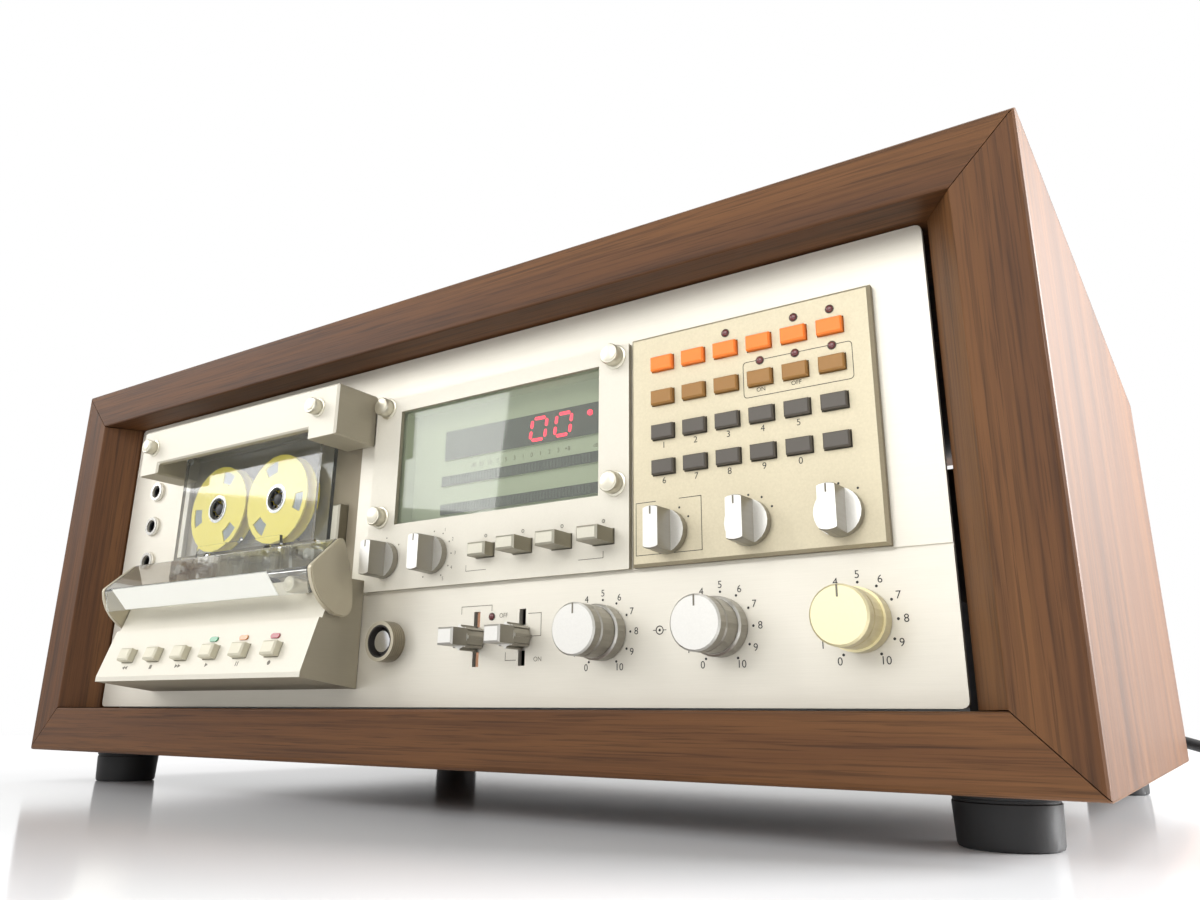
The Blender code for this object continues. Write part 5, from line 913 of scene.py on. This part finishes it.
def make_strip():
    """The white strip behind the hood's front."""
    rise, run = (edge - lip for lip, edge in zip(COVER_LIP, COVER_EDGE))
    strip = bmesh.new()
    corners = []
    for depth in STRIP_DEPTHS:
        for x, share in STRIP_CORNERS:
            spot = (x, COVER_LIP[0] + share * rise, COVER_LIP[1] + share * run - depth)
            corners.append(strip.verts.new(spot))
    bmesh.ops.convex_hull(strip, input=corners)
    white = satin("white_strip", srgb(246, 245, 240), 0.3, scale=1500.0, depth=0.000006, speckle=0.03)
    finished("head_cover_strip", strip, white, "head_cover")


def make_hood_screw(metal):
    """The thumb screw on the housing, seen through the hood."""
    built = bmesh.new()
    turn(built, [(3.0, 16.2), (3.0, 22.0), (3.3, 22.4), (3.3, 26.2), (3.0, 26.6)], *HOOD_SCREW, 48, 0.1)
    turn(built, [(1.6, 26.5), (1.6, 26.75), (1.3, 26.8)], *HOOD_SCREW, 24)
    finished("hood_thumb_screw", built, metal, smooth=50)


def make_mute_collar():
    """The ribbed sleeve over the record mute button's collar, dark inside."""
    sleeve = bmesh.new()
    tube(sleeve, *MUTE, 7.72, 6.3, 0.02, 6.32, 48)
    for k in range(5):
        foot = 0.9 + 1.05 * k
        tube(sleeve, *MUTE, 7.86, 7.6, foot, foot + 0.45, 48)
    # The second colour is painted shade for the sleeve's sides
    metal = turned_metal("sleeve_metal", srgb(190, 182, 162), srgb(132, 124, 106), 0.34, 0.6)
    finished("mute_sleeve", sleeve, metal, smooth=40)
    inside = bmesh.new()
    tube(inside, *MUTE, 6.35, 5.72, 1.0, 6.25, 40)
    finished("mute_collar_inside", inside, satin("collar_black", srgb(40, 36, 32), 0.4), smooth=40)


# The tape passes over the lifted heads and below the capstan, between the two guide rollers
TAPE_LOW = 59.3
TAPE_HIGH = 63.45
TAPE_THICKNESS = 0.2
SHELL_SCREWS = [(60.6, 116.0), (154.4, 116.0), (60.6, 60.0), (154.4, 60.0), (107.5, 72.5)]
ROLLERS = {"left": 61.5, "right": 153.5}
ROLLER_Y = 61.6
ROLLER_PROFILE = [(1.3, 0.9), (2.4, 0.9), (2.4, 1.3), (2.1, 1.5),
                  (2.1, 5.0), (2.4, 5.2), (2.4, 5.6), (1.3, 5.6)]


def make_cassette_details():
    """Screws, guide rollers and tape of the cassette, inside its clear shell."""
    steel = brushed("small_steel", srgb(196, 196, 192), 0.3, 1.0, depth=0.000008)
    screws = bmesh.new()
    for x, y in SHELL_SCREWS:
        turn(screws, [(1.5, 7.3), (1.5, 7.9), (1.1, 8.2)], x, y, 24)
    finished("cassette_screws", screws, steel, smooth=50)
    tape = bmesh.new()
    path = [(62.0, TAPE_LOW), (96.0, TAPE_HIGH), (134.0, TAPE_HIGH), (153.0, TAPE_LOW)]
    prism(tape, path + [(x, y + TAPE_THICKNESS) for x, y in reversed(path)], 1.2, 5.2)
    finished("cassette_tape", tape, satin("tape_brown", srgb(64, 46, 38), 0.25, speckle=0.1), smooth=50)
    for side, x in ROLLERS.items():
        roller = bmesh.new()
        turn(roller, ROLLER_PROFILE, x, ROLLER_Y, 28)
        grey = satin("roller_grey", srgb(196, 198, 196), 0.4)
        finished(f"cassette_{side}_roller", roller, grey, smooth=40)


# Reels by the spindle they ride on
REELS = {"left_spindle": 86.25, "right_spindle": 128.75}
REEL_Y = 89.5
REEL_LEAN = {"left_spindle": -20, "right_spindle": 20}
REEL_WINDOWS = 3
REEL_WINDOW_HALF = 14.6
HUB_TEETH = 6
# Corners of a hub tooth as (reach from the middle, offset to the side)
TOOTH = ((4.4, 0.5), (3.1, 0.4), (3.1, -0.4), (4.4, -0.5))


def make_hub(x, body, black):
    """The toothed hub of one reel."""
    hub = bmesh.new()
    tube(hub, x, REEL_Y, 5.3, 4.3, 5.9, 7.2)
    for k in range(HUB_TEETH):
        angle = tau * k / HUB_TEETH
        out = Vector((cos(angle), sin(angle)))
        across = Vector((-out.y, out.x))
        middle = Vector((x, REEL_Y))
        tooth = [middle + reach * out + wide * across for reach, wide in TOOTH]
        prism(hub, tooth, 5.9, 7.0)
    finished(f"{body}_hub", hub, black, body, smooth=40)


def make_reel_hubs():
    """Hub, bright ring, window panes and cap in the middle of each reel. They ride on its spindle."""
    black = satin("hub_black", srgb(22, 22, 23), 0.4)
    bright = satin("hub_chrome", srgb(220, 220, 222), 0.16, 1.0, scale=200.0, depth=0.000005)
    grey = satin("window_grey", srgb(142, 150, 152), 0.45, scale=1200.0, depth=0.000005)
    for body, x in REELS.items():
        ring = bmesh.new()
        tube(ring, x, REEL_Y, 6.6, 5.3, 6.95, 7.3)
        finished(f"{body}_hub_ring", ring, bright, body, smooth=40)
        make_hub(x, body, black)
        panes = bmesh.new()
        for k in range(REEL_WINDOWS):
            middle = 90 + 360 * k / REEL_WINDOWS + REEL_LEAN[body]
            start, end = middle - REEL_WINDOW_HALF, middle + REEL_WINDOW_HALF
            outline = arc(x, REEL_Y, 17.9, start, end, 6) + arc(x, REEL_Y, 12.4, end, start, 6)
            prism(panes, outline, 6.1, 6.45)
        finished(f"{body}_reel_windows", panes, grey, body)
        cap = bmesh.new()
        turn(cap, [(2.7, 6.2), (2.7, 6.9), (2.2, 7.3), (1.2, 7.5)], x, REEL_Y, 28)
        finished(f"{body}_cap", cap, black, body, smooth=50)


# A foot as (radius, height), from the recess below to the top
FOOT_PROFILE = [(4.5, 3.0), (4.5, 0.0), (12.5, 0.0), (13.3, 0.35), (13.6, 1.2), (14.1, 11.6), (13.8, 11.9),
                (13.8, 12.5), (14.2, 12.8), (14.3, 13.8), (13.8, 14.3)]


def make_feet(rubber):
    """Round tapered rubber feet, recessed below, with a groove under the top edge."""
    for row in ("front", "rear"):
        for side in ("left", "right"):
            name = f"foot_{row}_{side}"
            low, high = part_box(name)
            middle = Matrix.Translation(((low.x + high.x) / 2, (low.y + high.y) / 2, low.z))
            built = bmesh.new()
            turn(built, FOOT_PROFILE, 0.0, 0.0, 96)
            foot = finished(f"{name}_rubber", built, rubber, "root", middle, smooth=35)
            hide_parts(name)


def dress_nodes():
    """A material for every solid that no piece stands in for."""
    dress(["cabinet_top", "cabinet_bottom"], walnut("walnut_along_width", 0))
    dress(["cabinet_left_side", "cabinet_right_side"], walnut("walnut_upright", 2))
    rubber = satin("black_rubber", RUBBER, 0.55, scale=700.0, depth=0.00006)
    dress(["drive_belt", "pinch_roller"], rubber)
    make_feet(rubber)
    dress(["strain_relief", "mains_plug"], satin("cord_plastic", srgb(24, 24, 25), 0.45))
    dress(["front_panel"], brushed("brushed_champagne", CHAMPAGNE, 0.46, 0.6))
    # Plates and program panel: the second colour is painted shade for their sides
    plate = turned_metal("cream_plate", CREAM_PLATE, PLATE_PAINTED_SHADE, 0.5, 0.25, grit=0.08)
    dress(["display_bezel", "bay_bridge", "transport_housing"], plate)
    dress(["program_panel"], turned_metal("program_plate", PROGRAM_GOLD, PROGRAM_PAINTED_SHADE, 0.46, 0.5, grit=0.2))
    dress(["transport_chassis"], satin("bay_taupe", TAUPE, 0.5, 0.3))
    steel = brushed("steel", srgb(176, 178, 180), 0.4, 1.0)
    dress(["chassis_tray", "power_transformer", "capstan_motor", "head_block"], steel)
    dress(["main_board"], satin("circuit_board", srgb(30, 92, 48), 0.4))
    dress(["capstan_flywheel"], brushed("turned_brass", srgb(190, 160, 96), 0.3, 1.0))
    chrome = satin("chrome", srgb(222, 222, 224), 0.12, 1.0, scale=120.0, depth=0.000005, speckle=0.02)
    dress(["left_spindle", "right_spindle", "rec_mute_button"], chrome)
    ivory = satin("ivory_key", KEY_IVORY, 0.36, 0.1)
    buttons = ("rewind", "stop", "fast_forward", "play", "pause", "record")
    dress([f"button_{name}" for name in buttons], ivory)
    # The selectors' second colour is painted shade on their sides
    dress([f"tape_selector_{k}" for k in range(1, 5)] + ["power_button"],
          turned_metal("selector_metal", srgb(200, 196, 180), srgb(140, 134, 116), 0.36, 0.55))
    # Knob sides take painted shade colours, darker than their faces
    silver = turned_metal("silver_knob", SILVER, SILVER_PAINTED_SHADE)
    dress([f"{name}_knob" for name in BAR_KNOBS] + ["timer_lever", "filter_lever"], silver)
    dress(["mic_front_knob", "mic_rear_knob", "line_front_knob", "line_rear_knob"], silver)
    dress(["output_knob"], turned_metal("champagne_knob", CREAM, CREAM_PAINTED_SHADE, metallic=0.5))
    dress(["keypad_digits"], satin("dark_keys", KEY_DARK, 0.42))
    dress(["keypad_functions"], two_rows("orange_keys", TAN, ORANGE, PANEL_FOOT + 108.7 * MM))
    dress(["supply_reel", "takeup_reel"], satin("yellow_reel", YELLOW, 0.4))
    dress(["cassette_shell"], clear("clear_shell", srgb(246, 247, 246), 0.03, 0.97))
    dress(["display_window"], clear("smoked_window", srgb(228, 231, 222), 0.02, 0.96))
    dress(["display_unit"], satin("display_grey", srgb(208, 213, 198), 0.5))


def make_details():
    """Every finer piece, each with its own material."""
    ink = satin("printing_ink", INK, 0.5)
    faint = satin("faint_ink", srgb(112, 106, 92), 0.5)
    metal = brushed("screw_metal", srgb(214, 209, 192), 0.3, 0.85, depth=0.000008)
    beige = satin("cheek_beige", srgb(190, 181, 158), 0.42, 0.35, scale=1500.0, depth=0.00001)
    print_lower_strip(ink, faint)
    print_display_plate(faint)
    print_program_panel(ink)
    make_display_details(faint)
    make_thumb_screws(metal)
    make_lights()
    mark_buttons(faint)
    make_pointers(faint)
    make_jack_liners()
    make_hood()
    make_cheeks(beige)
    make_strip()
    make_hood_screw(metal)
    make_mute_collar()
    make_cassette_details()
    make_reel_hubs()


def main():
    make_camera()
    make_light()
    make_floor()
    make_cord()
    dress_nodes()
    make_details()
    bpy.context.view_layer.update()


main()
